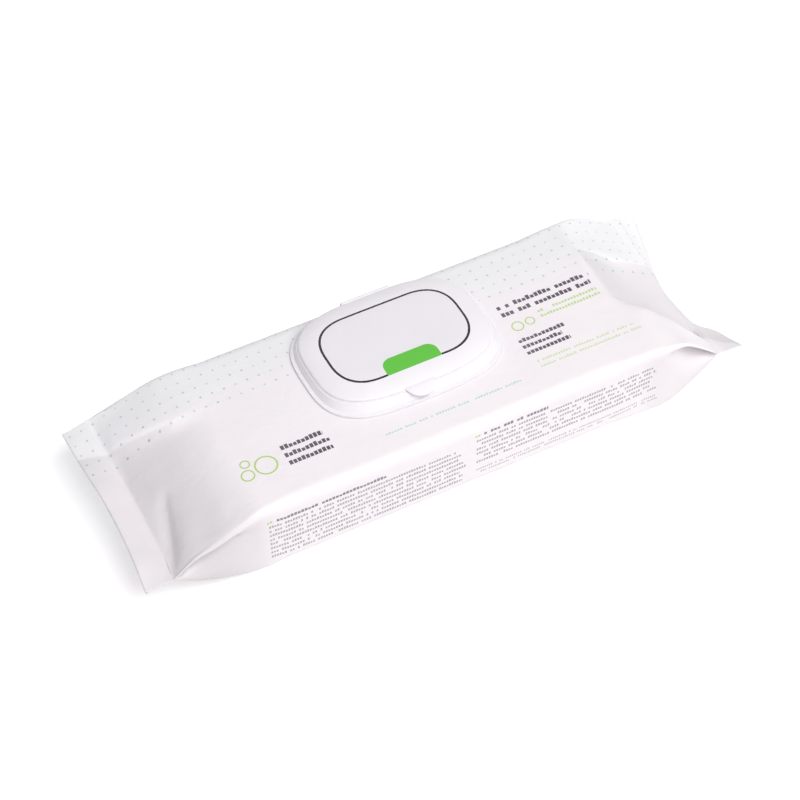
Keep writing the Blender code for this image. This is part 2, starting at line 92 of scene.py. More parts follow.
# Each end of the film. "start" is where its slope begins. "drop" is how far the top
# film has come down, as a share of the way to the seal: a row for each place in ACROSS,
# from the slope's start to the seal. Then where the side starts to tuck in and how
# fast, how the tuck's valley runs down as (x, z), where the underside lifts and how
# fast, how far each place of the sealed strip is pulled in, and how it tilts down.
ACROSS = (-51, -25, 0, 25, 51)
ENDS = {
    -1: {
        "start": 92,
        "drop": (
            (0, 0, 0.20, 0.43, 0.63, 1.00),
            (0, 0.03, 0.18, 0.43, 0.71, 1.00),
            (0, 0.02, 0.155, 0.36, 0.63, 0.97),
            (0, 0.01, 0.09, 0.245, 0.47, 0.81),
            (0, 0, 0.065, 0.235, 0.43, 0.63),
        ),
        "tuck": (101, 1.5),
        "valley": ((98, 33), (110, 32), (118, 30.5), (133, 26.5), (147.5, 21.5)),
        "lift": (97, 1.75),
        "pull": ((-51, 0), (-25, 1.6), (0, 2.0), (25, 1.0), (51, 0)),
        "tilt": ((-51, 4), (-38, -10), (0, -15), (20, -8), (51, 12)),
    },
    1: {
        "start": 100,
        "drop": (
            (0, 0, 0.04, 0.13, 0.48, 0.90),
            (0, 0, 0.05, 0.29, 0.65, 1.04),
            (0, 0.015, 0.27, 0.55, 0.83, 1.14),
            (0, 0.01, 0.18, 0.39, 0.64, 0.90),
            (0, 0, 0.02, 0.20, 0.44, 0.66),
        ),
        "tuck": (116, 1.2),
        "valley": ((100, 33), (118, 36), (128, 33), (140, 27), (147.5, 22)),
        "lift": (116, 1.5),
        "pull": ((-51, 0), (51, 0)),
        "tilt": ((-51, 4), (-41, 18), (-30, 30), (-20, 49), (-13, 55), (0, 60), (19, 57),
                 (36, 41), (51, 26)),
    },
}

# Folds pressed into the top film: points (x, y, height) along each, in millimetres,
# and the fold's width on its left and on its right as one walks along it
FOLDS = (
    (((-98, 21, 0.2), (-116, 21.5, 1.2), (-128, 25, 1.4), (-144, 29, 1.4), (-150, 30, 0.2)), 2.6, 14),
    (((-99, 13, 0.0), (-116, 15, -1.4), (-130, 18.5, -1.6), (-144, 22, -1.4), (-149, 23, 0.0)), 12, 3.5),
    (((-133, -6, 0.0), (-136, -14, -1.6), (-140, -28, -2.3), (-144.5, -43, -1.6), (-147, -49, 0.0)), 2.0, 5),
    (((-128, -14, 0.0), (-133, -28, 0.5), (-139, -44, 0.5)), 6, 2.5),
    (((110, 33, 0.2), (110.5, 24, 0.9), (111.5, 13, 0.2)), 1.3, 2.2),
    (((110, 30, 0.2), (119, 24.5, 1.6), (128, 20.5, 1.9), (140, 19.5, 1.6), (149, 20, 0.2)), 10, 2.4),
    (((112, -4, -0.3), (118, -12, -2.4), (128, -21, -4.0), (142, -33, -3.4), (149, -37, 0.0)), 9, 2.4),
    (((112, -8, 0.2), (121, -21, 1.5), (136, -36, 1.7), (148, -43, 0.5)), 2.4, 6),
)

# Window in the film under the lid, and the lid's moulded outline
WINDOW = (32 * MM, 15.5 * MM)
LID_CENTRE = (FRAME_LOW.y + FRAME_HIGH.y) / 2
LID_OUTLINE = (FRAME_HIGH.x, (FRAME_HIGH.y - FRAME_LOW.y) / 2, LID_CENTRE)
LID_SQUARENESS = 3.2
RING_POINTS = 192

# Where the top film stays flat, and where its pressed folds have faded out
FLAT_REACH = 90 * MM
RELIEF_STOP = 152 * MM
RELIEF_FADE = 6 * MM

# Soft waves of the whole film: where it gets loose and how fast, how many waves stand in
# a metre, and how far round the lid the glue keeps it flat, as shares of the lid's size
LOOSE_START = 95 * MM
LOOSE_RUN = 35 * MM
BROAD_WAVES = 38
FINE_WAVES = 90
WAVE_SHIFT = Vector((3.1, 7.7, 1.9))
GLUED_REACH = 1.06
GLUED_FADE = 0.25

# Sealed strips: ridges of the crimp, the length over which a strip bends to its tilt, the
# share of its thickness left at the cut edge, and where the film starts to be pulled in
CRIMP_RIDGES = 9
BEND_RUN = 4 * MM
CUT_EDGE_SHARE = 0.71
PULL_START = 110 * MM

# Side tucks: least gap to the film over and under them, and least height of a fold
TUCK_CLEARANCE = 0.6 * MM
LEAST_NIP = 0.03 * MM

# Grids of the film and of the stack: runs of (start, stop, steps) along the pack, and of
# the section's parts from the middle of the top to the middle of the underside
FILM_ALONG = ((-HALF_LENGTH, -SEAL_INNER, 22), (-SEAL_INNER, -FLAT_REACH, 68), (-FLAT_REACH, FLAT_REACH, 88),
              (FLAT_REACH, SEAL_INNER, 68), (SEAL_INNER, HALF_LENGTH, 22))
FILM_AROUND = ((0, 1, 36), (1, 2, 6), (2, 3, 10), (3, 4, 10), (4, 5, 5), (5, 6, 15))
STACK_ALONG = ((STACK_LOW.x, -FLAT_REACH, 16), (-FLAT_REACH, FLAT_REACH, 60), (FLAT_REACH, STACK_HIGH.x, 16))
STACK_AROUND = ((0, 1, 30), (1, 2, 4), (2, 3, 8), (3, 4, 8), (4, 5, 3), (5, 6, 8))
MERGE_DISTANCE = 0.02 * MM

# Wipes: gap from the film's outside, and at the top wipe's free edge the groove's depth
# and width, the step down behind it, the height of the cloth's own waves and their count
# in a metre. Then the pitch and the radius of the embossed dots.
STACK_INSET = 0.8 * MM
TOP_GAP = 0.1 * MM
GROOVE_DEPTH = 0.6 * MM
GROOVE_WIDTH = 0.9 * MM
WIPE_STEP = 0.25 * MM
CLOTH_WAVE = 0.12 * MM
CLOTH_WAVES = 120
EMBOSS_PITCH = 2.8 * MM
EMBOSS_RADIUS = 0.6 * MM

# Rows of print, in millimetres: start (u, v), length, height, pitch, number of rows and
# width of a block. Then the inked share of a block, the share of blocks left out, the
# share by which a row may end early, seed, strength and the setting of its colour.
PRINTED_ROWS = (
    (-77.2, -18.0, 23.5, 3.0, 5.0, 3, 2.15, 0.80, 0.0, 0.25, 2, 0.95, "ink"),
    (55.8, 12.9, 53.0, 3.0, 5.2, 2, 2.35, 0.80, 0.12, 0.08, 5, 0.95, "ink"),
    (73.0, 1.6, 37.0, 1.9, 3.5, 2, 1.70, 0.70, 0.10, 0.12, 9, 0.70, "green"),
    (54.8, -11.6, 26.0, 2.5, 4.3, 3, 2.15, 0.80, 0.0, 0.35, 12, 0.95, "ink"),
    (56.5, -27.6, 57.0, 1.5, 3.6, 2, 1.45, 0.66, 0.16, 0.10, 15, 0.55, "green"),
    (-29.5, -34.6, 73.5, 1.3, 3.0, 1, 1.50, 0.70, 0.14, 0.0, 21, 0.55, "teal"),
    (-94.5, -57.2, 57.0, 2.0, 3.0, 1, 1.80, 0.78, 0.10, 0.0, 31, 0.85, "ink"),
    (-98.5, -61.0, 104.0, 1.75, 3.15, 8, 1.35, 0.70, 0.16, 0.06, 33, 0.62, "ink"),
    (15.0, -55.0, 35.0, 2.0, 3.0, 1, 1.80, 0.78, 0.10, 0.0, 45, 0.85, "ink"),
    (11.0, -58.8, 103.0, 1.75, 3.15, 6, 1.35, 0.70, 0.16, 0.06, 47, 0.62, "ink"),
    (11.0, -80.6, 103.0, 1.3, 2.4, 2, 1.15, 0.66, 0.18, 0.12, 58, 0.5, "ink"),
    (-99.4, -57.2, 3.2, 2.0, 3.0, 1, 1.5, 0.75, 0.0, 0.0, 61, 0.75, "green"),
    (10.2, -55.0, 3.2, 2.0, 3.0, 1, 1.5, 0.75, 0.0, 0.0, 63, 0.75, "green"),
)

# Rings of print: centre (u, v), radius and width of the line, in millimetres
PRINTED_RINGS = (
    (-87.4, -25.6, 5.3, 0.85), (-97.6, -27.4, 3.1, 0.75), (-96.2, -20.6, 2.2, 0.7),
    (59.5, -3.6, 2.9, 0.7), (66.6, -3.2, 2.3, 0.65),
)
RING_STRENGTH = 0.9

# Dotted band: V of its front edge over the wipes and on the right end, the stretch of U
# between the two, the depth at which it has its full tint, and the middle of one dot
BAND_EDGES = (17.0 * MM, 10.3 * MM)
BAND_STEP = (112 * MM, 118 * MM)
BAND_DEPTH = 22 * MM
DOT_PLACE = (-91.4 * MM, 20.4 * MM)

# Tone of the hollow ends: dimmer where no wipes back the film, and partly painted shade of
# their slopes. A crease is its V, its slant and the U where it turns aside. The valley of
# the right end is where it starts in V, and its slant; past it lies painted shade. SIDE_FACE
# is the V over which the front face takes its painted shade. The last five set the painted
# shade of the front faces and the painted highlight behind each crease.
LEFT_CREASE = (20 * MM, 0.26, -116 * MM)
RIGHT_CREASE = (18.7 * MM, 0.6, 128 * MM)
RIGHT_VALLEY = (-8 * MM, 1.25)
SIDE_FACE = (-56 * MM, -52 * MM)
SIDE_PAINTED_SHADE = 0.06
LEFT_SIDE_PAINTED_SHADE = 1.4
LEFT_BACK_PAINTED_LIGHT = 0.86
LEFT_PAINTED_HIGHLIGHT = 0.17
RIGHT_BACK_PAINTED_LIGHT = 1.06

# Printed fields of the flap: centre, half size, corner and how square the corner is
OUTLINE_FIELD = {"centre": (-0.3 * MM, 12.4 * MM, 0.0), "half": (36.2 * MM, 21.6 * MM, 1.0),
                 "corner": 19.5 * MM, "power": 2.45}
TAB_FIELD = {"centre": (-0.4 * MM, -7.9 * MM, 0.0), "half": (14.6 * MM, 8.0 * MM, 1.0),
             "corner": 5.5 * MM, "power": 2.0}
LEAST_FACING_UP = 0.3

# Second shades of the materials, as linear red, green, blue and alpha
FILM_CLOUD = (0.80, 0.74, 0.82, 1.0)
LID_CLOUD = (0.82, 0.79, 0.84, 1.0)
PANEL_SHADE = (0.80, 0.785, 0.83, 1.0)
# The next colour is a painted shade between the wipes' fibre strands
CLOTH_GAP_PAINTED_SHADE = (0.72, 0.735, 0.735, 1.0)
CLOTH_DAMP = (0.70, 0.72, 0.72, 1.0)
FLOOR_SHADE = (0.80, 0.79, 0.80, 1.0)
WORLD_SHADE = (0.985, 0.965, 1.0, 1.0)
WHITE = (1.0, 1.0, 1.0, 1.0)


def color_setting(name, description, default):
    """A colour that a user may change."""
    return bpy.props.FloatVectorProperty(
        name=name, description=description, default=default, size=3, min=0.0, max=1.0, subtype="COLOR")


def length_setting(name, description, default, **limits):
    """A length in metres that a user may change."""
    return bpy.props.FloatProperty(
        name=name, description=description, default=default, unit="LENGTH", subtype="DISTANCE", **limits)


def angle_setting(name, description, degrees):
    """An angle that a user may change."""
    return bpy.props.FloatProperty(
        name=name, description=description, default=math.radians(degrees), subtype="ANGLE")


class FilmSettings(bpy.types.PropertyGroup):
    """Sizes and colours of the printed film."""

    wall: length_setting("Film Thickness", "Thickness of the film", 0.3 * MM, min=0.05 * MM, max=0.4 * MM)
    crumple: length_setting("Crumple", "Height of the film's fine waves", 0.35 * MM, min=0.0, max=1.0 * MM)
    crimp: length_setting("Crimp", "Depth of the ridges across the seals", 0.1 * MM, min=0.0, max=0.2 * MM)
    dot_pitch: bpy.props.FloatVectorProperty(
        name="Dot Pitch", description="Distance between printed dots along and across the pack",
        default=(6.17 * MM, 6.7 * MM), size=2, unit="LENGTH")
    dot_radius: length_setting("Dot Radius", "Radius of a printed dot", 0.62 * MM)
    film: color_setting("Film", "Colour of the bare film", (0.92, 0.885, 0.905))
    tint: color_setting("Band Tint", "Colour of the dotted band at the back", (0.86, 0.885, 0.895))
    # Level of each end where no wipes back the film, which also serves as painted shade of the ends' slopes
    hollow: bpy.props.FloatVectorProperty(
        name="Hollow Ends", description="Brightness of the left and right ends, where no wipes back the film",
        default=(0.86, 0.87), size=2, min=0.0, max=1.0)
    teal: color_setting("Teal", "Colour of the dots and the thin line", (0.16, 0.58, 0.50))
    grey: color_setting("Pale Dots", "Colour of the dots away from the band's edge", (0.42, 0.47, 0.52))
    green: color_setting("Green", "Colour of the rings and the thin rows", (0.38, 0.62, 0.06))
    ink: color_setting("Ink", "Colour of the dark rows", (0.045, 0.02, 0.055))


class LidSettings(bpy.types.PropertyGroup):
    """Sizes and colours of the moulded lid."""

    line_width: length_setting("Outline Width", "Width of the printed outline", 1.15 * MM)
    hinge_web: length_setting("Hinge Web", "Thickness of the living hinge", 0.25 * MM)
    plastic: color_setting("Plastic", "Colour of the lid", (0.91, 0.895, 0.925))
    label: color_setting("Label Green", "Colour of the printed field at the thumb tab", (0.11, 0.545, 0.04))
    ink: color_setting("Outline Ink", "Colour of the printed outline", (0.012, 0.004, 0.018))


class WipesSettings(bpy.types.PropertyGroup):
    """Colours of the wipes."""

    cloth: color_setting("Cloth", "Colour of the wet cloth", (0.84, 0.85, 0.84))


class StageSettings(bpy.types.PropertyGroup):
    """Camera and light."""

    lens: bpy.props.FloatProperty(
        name="Lens", description="Focal length of the camera in millimetres", default=103.92)
    azimuth: angle_setting("Azimuth", "Direction the camera looks in", -26.28)
    elevation: angle_setting("Elevation", "How far the camera looks down", 49.09)
    roll: angle_setting("Roll", "Tilt of the camera", -1.28)
    distance: length_setting("Distance", "Distance from the camera to the pack", 1.1531)
    aim: bpy.props.FloatVectorProperty(
        name="Aim", description="Sideways and upward offset of the camera", default=(-0.00402, 0.01061),
        size=2, unit="LENGTH")
    world_light: bpy.props.FloatProperty(
        name="World Light", description="Strength of the light from all round", default=0.57)
    key_light: bpy.props.FloatProperty(
        name="Key Light", description="Power of the soft lamp in front and above, in watts", default=15.8)


class Graph:
    """Short calls for laying nodes in a tree."""

    def __init__(self, tree):
        self.tree = tree

    def node(self, kind, **settings):
        made = self.tree.nodes.new("ShaderNode" + kind)
        for name, value in settings.items():
            setattr(made, name, value)
        return made

    def feed(self, socket, value):
        if isinstance(value, bpy.types.NodeSocket):
            self.tree.links.new(value, socket)
        elif value is not None:
            socket.default_value = value

    def math(self, operation, *values):
        made = self.node("Math", operation=operation)
        for socket, value in zip(made.inputs, values):
            self.feed(socket, value)
        return made.outputs[0]

    def chain(self, operation, values):
        result = values[0]
        for value in values[1:]:
            result = self.math(operation, result, value)
        return result

    def add(self, *values):
        return self.chain("ADD", values)

    def product(self, *values):
        return self.chain("MULTIPLY", values)

    def larger(self, *values):
        return self.chain("MAXIMUM", values)

    def minus(self, first, second):
        return self.math("SUBTRACT", first, second)

    def divide(self, first, second):
        return self.math("DIVIDE", first, second)

    def above(self, value, edge):
        return self.math("GREATER_THAN", value, edge)

    def below(self, value, edge):
        return self.math("LESS_THAN", value, edge)

    def vector(self, operation, first, second=None, scale=None):
        made = self.node("VectorMath", operation=operation)
        self.feed(made.inputs[0], first)
        self.feed(made.inputs[1], second)
        if scale is not None:
            self.feed(made.inputs["Scale"], scale)
        return made.outputs["Value" if operation in ("LENGTH", "DISTANCE") else "Vector"]

    def parts(self, vector):
        made = self.node("SeparateXYZ")
        self.feed(made.inputs[0], vector)
        return made.outputs

    def combine(self, x=0.0, y=0.0, z=0.0):
        made = self.node("CombineXYZ")
        for socket, value in zip(made.inputs, (x, y, z)):
            self.feed(socket, value)
        return made.outputs[0]

    def mix(self, factor, first, second):
        made = self.node("Mix", data_type="RGBA")
        self.feed(made.inputs["Factor"], factor)
        self.feed(made.inputs[6], first)
        self.feed(made.inputs[7], second)
        return made.outputs[2]

    def smooth(self, value, low, high, out_low=0.0, out_high=1.0):
        made = self.node("MapRange", interpolation_type="SMOOTHSTEP")
        for name, item in (("Value", value), ("From Min", low), ("From Max", high),
                           ("To Min", out_low), ("To Max", out_high)):
            self.feed(made.inputs[name], item)
        return made.outputs[0]

    def noise(self, vector, scale, detail=2.0, roughness=0.5, distortion=0.0):
        made = self.node("TexNoise")
        for name, item in (("Vector", vector), ("Scale", scale), ("Detail", detail),
                           ("Roughness", roughness), ("Distortion", distortion)):
            self.feed(made.inputs[name], item)
        return made.outputs["Fac"]

    def random(self, vector):
        made = self.node("TexWhiteNoise", noise_dimensions="3D")
        self.feed(made.inputs["Vector"], vector)
        return made.outputs["Value"]

    def group(self, name, **values):
        made = self.node("Group")
        made.node_tree = bpy.data.node_groups[name]
        for key, value in values.items():
            self.feed(made.inputs[key.replace("_", " ").title()], value)
        return made.outputs


def start_group(name, inputs, outputs):
    """An empty node group with named sockets, as (graph, input sockets, output sockets)."""
    tree = bpy.data.node_groups.new(name, "ShaderNodeTree")
    for label, kind, default in inputs:
        socket = tree.interface.new_socket(label, in_out="INPUT", socket_type="NodeSocket" + kind)
        if default is not None:
            socket.default_value = default
    for label, kind in outputs:
        tree.interface.new_socket(label, in_out="OUTPUT", socket_type="NodeSocket" + kind)
    graph = Graph(tree)
    return graph, tree.nodes.new("NodeGroupInput").outputs, tree.nodes.new("NodeGroupOutput").inputs


def make_rows_group():
    """Rows of small blocks of varying height with gaps between words, as a block of print
    reads from a step away. Rows run down from Start."""
    g, given, out = start_group("Printed Rows", (
        ("Vector", "Vector", None), ("Start", "Vector", None), ("Length", "Float", 0.02),
        ("Height", "Float", 0.001), ("Pitch", "Float", 0.003), ("Rows", "Float", 3.0),
        ("Block", "Float", 0.001), ("Fill", "Float", 0.75), ("Gaps", "Float", 0.15),
        ("Ragged", "Float", 0.2), ("Seed", "Float", 0.0)), (("Mask", "Float"),))
    place = g.parts(g.vector("SUBTRACT", given["Vector"], given["Start"]))
    across, down = place[0], g.product(place[1], -1.0)
    row = g.math("FLOOR", g.divide(down, given["Pitch"]))
    in_rows = g.product(g.above(row, -0.5),
                        g.below(row, g.minus(given["Rows"], 0.5)))
    within = g.minus(down, g.product(row, given["Pitch"]))
    seeded = g.add(row, given["Seed"])
    shorter = g.product(g.random(g.combine(seeded, 3.7, 0.0)), given["Ragged"])
    reach = g.product(given["Length"], g.minus(1.0, shorter))
    in_length = g.product(g.above(across, 0.0), g.below(across, reach))
    step = g.divide(across, given["Block"])
    block = g.math("FLOOR", step)
    drawn = g.above(g.random(g.combine(block, seeded, 1.3)), given["Gaps"])
    low = g.product(g.random(g.combine(block, seeded, 9.1)), 0.38)
    in_height = g.product(g.above(within, g.product(given["Height"], low)),
                          g.below(within, given["Height"]))
    in_block = g.below(g.math("FRACT", step), given["Fill"])
    g.feed(out["Mask"], g.product(in_rows, in_length, drawn, in_height, in_block))


def make_dots_group():
    """A plain grid of round dots and a random tone for each."""
    g, given, out = start_group("Printed Dots", (
        ("Vector", "Vector", None), ("Pitch X", "Float", 0.006), ("Pitch Y", "Float", 0.0067),
        ("Radius", "Float", 0.0006)), (("Mask", "Float"), ("Tone", "Float")))
    place = g.parts(given["Vector"])
    steps = [g.divide(place[i], given[name]) for i, name in enumerate(("Pitch X", "Pitch Y"))]
    cells = [g.math("FLOOR", step) for step in steps]
    offsets = [g.product(g.minus(g.math("FRACT", step), 0.5), given[name])
               for step, name in zip(steps, ("Pitch X", "Pitch Y"))]
    distance = g.vector("LENGTH", g.combine(*offsets))
    soft = g.product(given["Radius"], 0.75)
    wide = g.product(given["Radius"], 1.15)
    g.feed(out["Mask"], g.smooth(distance, soft, wide, 1.0, 0.0))
    g.feed(out["Tone"], g.random(g.combine(*cells, 5.0)))


def make_ring_group():
    """A thin drawn ring."""
    g, given, out = start_group("Printed Ring", (
        ("Vector", "Vector", None), ("Centre", "Vector", None), ("Radius", "Float", 0.005),
        ("Width", "Float", 0.0008)), (("Mask", "Float"),))
    distance = g.vector("DISTANCE", given["Vector"], given["Centre"])
    off_line = g.math("ABSOLUTE", g.minus(distance, given["Radius"]))
    g.feed(out["Mask"], g.below(off_line, g.product(given["Width"], 0.5)))


def make_field_group():
    """Distance from the outline of a rounded field, negative inside."""
    g, given, out = start_group("Rounded Field", (
        ("Vector", "Vector", None), ("Centre", "Vector", None), ("Half", "Vector", None),
        ("Corner", "Float", 0.01), ("Power", "Float", 2.0)), (("Distance", "Float"),))
    away = g.vector("ABSOLUTE", g.vector("SUBTRACT", given["Vector"], given["Centre"]))
    corner = g.combine(given["Corner"], given["Corner"], 0.0)
    past = g.parts(g.vector("SUBTRACT", away, g.vector("SUBTRACT", given["Half"], corner)))
    outer = [g.math("POWER", g.larger(item, 0.0), given["Power"]) for item in past[:2]]
    outside = g.math("POWER", g.add(*outer), g.divide(1.0, given["Power"]))
    inside = g.math("MINIMUM", g.larger(past[0], past[1]), 0.0)
    g.feed(out["Distance"], g.minus(g.add(outside, inside), given["Corner"]))


def make_wrinkle_group():
    """Fine waves and crinkles of thin film, as a height in metres, and where they gather."""
    g, given, out = start_group("Film Crinkles", (
        ("Vector", "Vector", None), ("Amount", "Float", 0.0002)), (("Height", "Float"), ("Gloss", "Float")))
    sway = g.combine(g.noise(given["Vector"], scale=22.0), g.noise(given["Vector"], scale=31.0))
    bent = g.vector("ADD", given["Vector"], g.vector("SCALE", sway, scale=0.02))
    stretched = g.vector("MULTIPLY", bent, (40.0, 190.0, 1.0))
    broad = g.noise(bent, scale=34.0)
    sharp = g.math("ABSOLUTE", g.minus(g.noise(bent, 75.0, detail=3.0, roughness=0.55, distortion=0.4), 0.5))
    long_lines = g.noise(stretched, 1.0, detail=3.0, roughness=0.6, distortion=0.3)
    total = g.minus(g.add(g.product(broad, 0.9), g.product(long_lines, 0.3)), g.product(sharp, 0.8))
    g.feed(out["Height"], g.product(total, given["Amount"]))
    g.feed(out["Gloss"], g.noise(bent, scale=160.0, detail=3.0))


def make_grain_group():
    """Fine moulded grain: a height in metres and a gentle change of gloss."""
    g, given, out = start_group("Moulded Grain", (
        ("Vector", "Vector", None), ("Amount", "Float", 0.00003)), (("Height", "Float"), ("Gloss", "Float")))
    stretched = g.vector("MULTIPLY", given["Vector"], (60.0, 140.0, 60.0))
    fine = g.noise(given["Vector"], scale=2600.0)
    flow = g.noise(stretched, 1.0, detail=3.0, distortion=0.4)
    g.feed(out["Height"], g.product(g.add(g.product(fine, 0.35), flow), given["Amount"]))
    g.feed(out["Gloss"], g.noise(given["Vector"], scale=45.0, detail=3.0))


def make_fibre_group():
    """Tangled short fibres of a nonwoven with its embossed dots."""
    g, given, out = start_group("Nonwoven Fibres", (
        ("Vector", "Vector", None), ("Amount", "Float", 0.00012)), (("Height", "Float"), ("Tone", "Float")))
    lays = []
    for stretch in ((260.0, 1500.0, 900.0), (1300.0, 330.0, 900.0)):
        drawn_out = g.vector("MULTIPLY", given["Vector"], stretch)
        lays.append(g.noise(drawn_out, 1.0, detail=3.0, roughness=0.6, distortion=1.2))
    dots = g.group("Printed Dots", vector=given["Vector"], pitch_x=EMBOSS_PITCH, pitch_y=EMBOSS_PITCH,
                   radius=EMBOSS_RADIUS)
    strands = g.larger(*lays)
    total = g.minus(strands, g.product(dots["Mask"], 0.7))
    g.feed(out["Height"], g.product(total, given["Amount"]))
    g.feed(out["Tone"], strands)


def make_groups():
    """All shared node groups, once."""
    if "Printed Rows" not in bpy.data.node_groups:
        for make in (make_rows_group, make_dots_group, make_ring_group, make_field_group,
                     make_wrinkle_group, make_grain_group, make_fibre_group):
            make()


def opaque(color):
    """A setting's colour with full alpha."""
    return (*color, 1.0)


def start_material(name, color):
    """A material with nodes, as (material, graph, Principled BSDF)."""
    material = bpy.data.materials.new(name)
    material.use_nodes = True
    material.diffuse_color = opaque(color)
    graph = Graph(material.node_tree)
    return material, graph, material.node_tree.nodes["Principled BSDF"]


def bumped(graph, shader, height):
    """Feeds a height in metres to the shader's normal."""
    bump = graph.node("Bump")
    bump.inputs["Strength"].default_value = 1.0
    bump.inputs["Distance"].default_value = 1.0
    graph.feed(bump.inputs["Height"], height)
    graph.feed(shader.inputs["Normal"], bump.outputs[0])


def set_gloss(shader, **levels):
    """Levels that are the same all over, straight on the shader's sockets."""
    for name, value in levels.items():
        shader.inputs[name.replace("_", " ").title().replace("Ior", "IOR")].default_value = value


def dotted_band(g, place, u, v, settings):
    """Bare film with the tinted band at the back and its dots. Away from the band's edge
    the dots turn from teal to grey and fade."""
    past = g.minus(v, g.smooth(u, *BAND_STEP, *BAND_EDGES))
    tinted = g.smooth(past, -4 * MM, BAND_DEPTH, 0.0, 0.85)
    color = g.mix(tinted, opaque(settings.film), opaque(settings.tint))
    pitch_x, pitch_y = settings.dot_pitch
    grid = g.vector("ADD", place, (pitch_x / 2 - DOT_PLACE[0], pitch_y / 2 - DOT_PLACE[1], 0.0))
    dots = g.group("Printed Dots", vector=grid, pitch_x=pitch_x, pitch_y=pitch_y, radius=settings.dot_radius)
    greyness = g.add(g.product(dots["Tone"], 0.5), g.smooth(past, 2 * MM, BAND_DEPTH, 0.0, 0.75))
    dot_color = g.mix(g.smooth(greyness, 0.2, 0.95), opaque(settings.teal), opaque(settings.grey))
    fade = g.product(g.smooth(past, 0.0, 30 * MM, 0.85, 0.6), g.smooth(dots["Tone"], 0.0, 1.0, 0.55, 1.0))
    return g.mix(g.product(dots["Mask"], g.above(past, 0.0), fade), color, dot_color)


def printed_marks(g, place, color, settings):
    """Lays the rows of blocks and the rings over the film's colour."""
    for u, v, length, height, pitch, count, block, fill, gaps, ragged, seed, strength, ink in PRINTED_ROWS:
        mask = g.group("Printed Rows", vector=place, start=(u * MM, v * MM, 0.0), length=length * MM,
                       height=height * MM, pitch=pitch * MM, rows=float(count), block=block * MM,
                       fill=fill, gaps=gaps, ragged=ragged, seed=float(seed))["Mask"]
        color = g.mix(g.product(mask, strength), color, opaque(getattr(settings, ink)))
    for u, v, radius, width in PRINTED_RINGS:
        mask = g.group("Printed Ring", vector=place, centre=(u * MM, v * MM, 0.0),
                       radius=radius * MM, width=width * MM)["Mask"]
        color = g.mix(g.product(mask, RING_STRENGTH), color, opaque(settings.green))
    return color


def behind_crease(g, u, v, crease):
    """1 behind a crease of the print and 0 in front of it."""
    place, slant, turn = crease
    line = g.add(g.product(g.larger(g.minus(turn, u), 0.0), slant), place)
    return g.smooth(g.minus(v, line), -1.0 * MM, 1.2 * MM)


def only_where(g, tone, share):
    """The tone where the share is 1, and plain film where it is 0."""
    return g.minus(1.0, g.product(g.minus(1.0, tone), share))


def unbacked_and_painted_shade(g, u, v, settings):
    """Brightness of the film by its place in the print. On the hollow ends the film in front
    of the crease is dimmer, where no wipes back it and as painted shade of the slopes, and the
    film behind it is brighter as a painted highlight. The valley of the right end and the
    front faces take painted shade."""
    # Painted shade on the front faces of the ends
    front_face_painted_shade = g.smooth(v, *SIDE_FACE, SIDE_PAINTED_SHADE, 0.0)

    # Left end: dimmer where no wipes back it and as painted shade, a painted highlight behind the crease, a
    # little lighter on the front of the seal strip
    behind = behind_crease(g, u, v, LEFT_CREASE)
    strip = g.smooth(u, -SEAL_INNER - 1 * MM, -SEAL_INNER + 1 * MM, 1.0, 0.0)
    front = g.add(g.product(strip, g.smooth(v, 4 * MM, 18 * MM, 0.03, 0.0)), settings.hollow[0])
    tone = g.add(g.product(behind, LEFT_PAINTED_HIGHLIGHT), g.larger(front, g.product(behind, LEFT_BACK_PAINTED_LIGHT)))
    left = only_where(g, tone, g.smooth(u, -130 * MM, -98 * MM, 1.0, 0.0))
    left = g.minus(left, g.product(front_face_painted_shade, g.smooth(u, -106 * MM, -92 * MM, LEFT_SIDE_PAINTED_SHADE, 0.0)))

    # Right end: dimmer where no wipes back it and as painted shade, darkest along the valley and lighter
    # towards the seal, with a painted highlight behind the crease
    behind = behind_crease(g, u, v, RIGHT_CREASE)
    valley = g.product(g.larger(g.minus(RIGHT_VALLEY[0], v), 0.0), RIGHT_VALLEY[1])
    past = g.minus(u, valley)
    front = g.add(g.smooth(past, 116 * MM, 136 * MM, 0.0, 0.08), settings.hollow[1] - 0.02)
    tone = g.add(g.product(behind, RIGHT_BACK_PAINTED_LIGHT), g.product(g.minus(1.0, behind), front))
    right = only_where(g, tone, g.smooth(past, 109 * MM, 114 * MM))
    right = g.minus(right, g.product(front_face_painted_shade, g.smooth(u, 100 * MM, 112 * MM)))
    return g.product(left, right)


def film_material(settings):
    """Glossy printed film with faint clouds, crinkles and the tone of its hollow ends, which holds painted
    shade and painted highlights.
    """
    material, g, shader = start_material("printed_film", settings.film)
    place = g.node("UVMap", uv_map="film").outputs[0]
    u, v = g.parts(place)[:2]
    color = printed_marks(g, place, dotted_band(g, place, u, v, settings), settings)
    clouds = g.noise(place, scale=26.0, detail=3.0)
    color = g.mix(g.smooth(clouds, 0.35, 0.7, 0.0, 0.10), color, FILM_CLOUD)
    crinkles = g.group("Film Crinkles", vector=place, amount=0.6 * MM)
    # The base colour is scaled by the ends' tone: painted shade and painted highlights
    g.feed(shader.inputs["Base Color"], g.vector("SCALE", color, scale=unbacked_and_painted_shade(g, u, v, settings)))
    g.feed(shader.inputs["Roughness"], g.smooth(crinkles["Gloss"], 0.3, 0.7, 0.36, 0.48))
    set_gloss(shader, ior=1.49, coat_weight=0.2, coat_roughness=0.24)
    bumped(g, shader, crinkles["Height"])
    return material


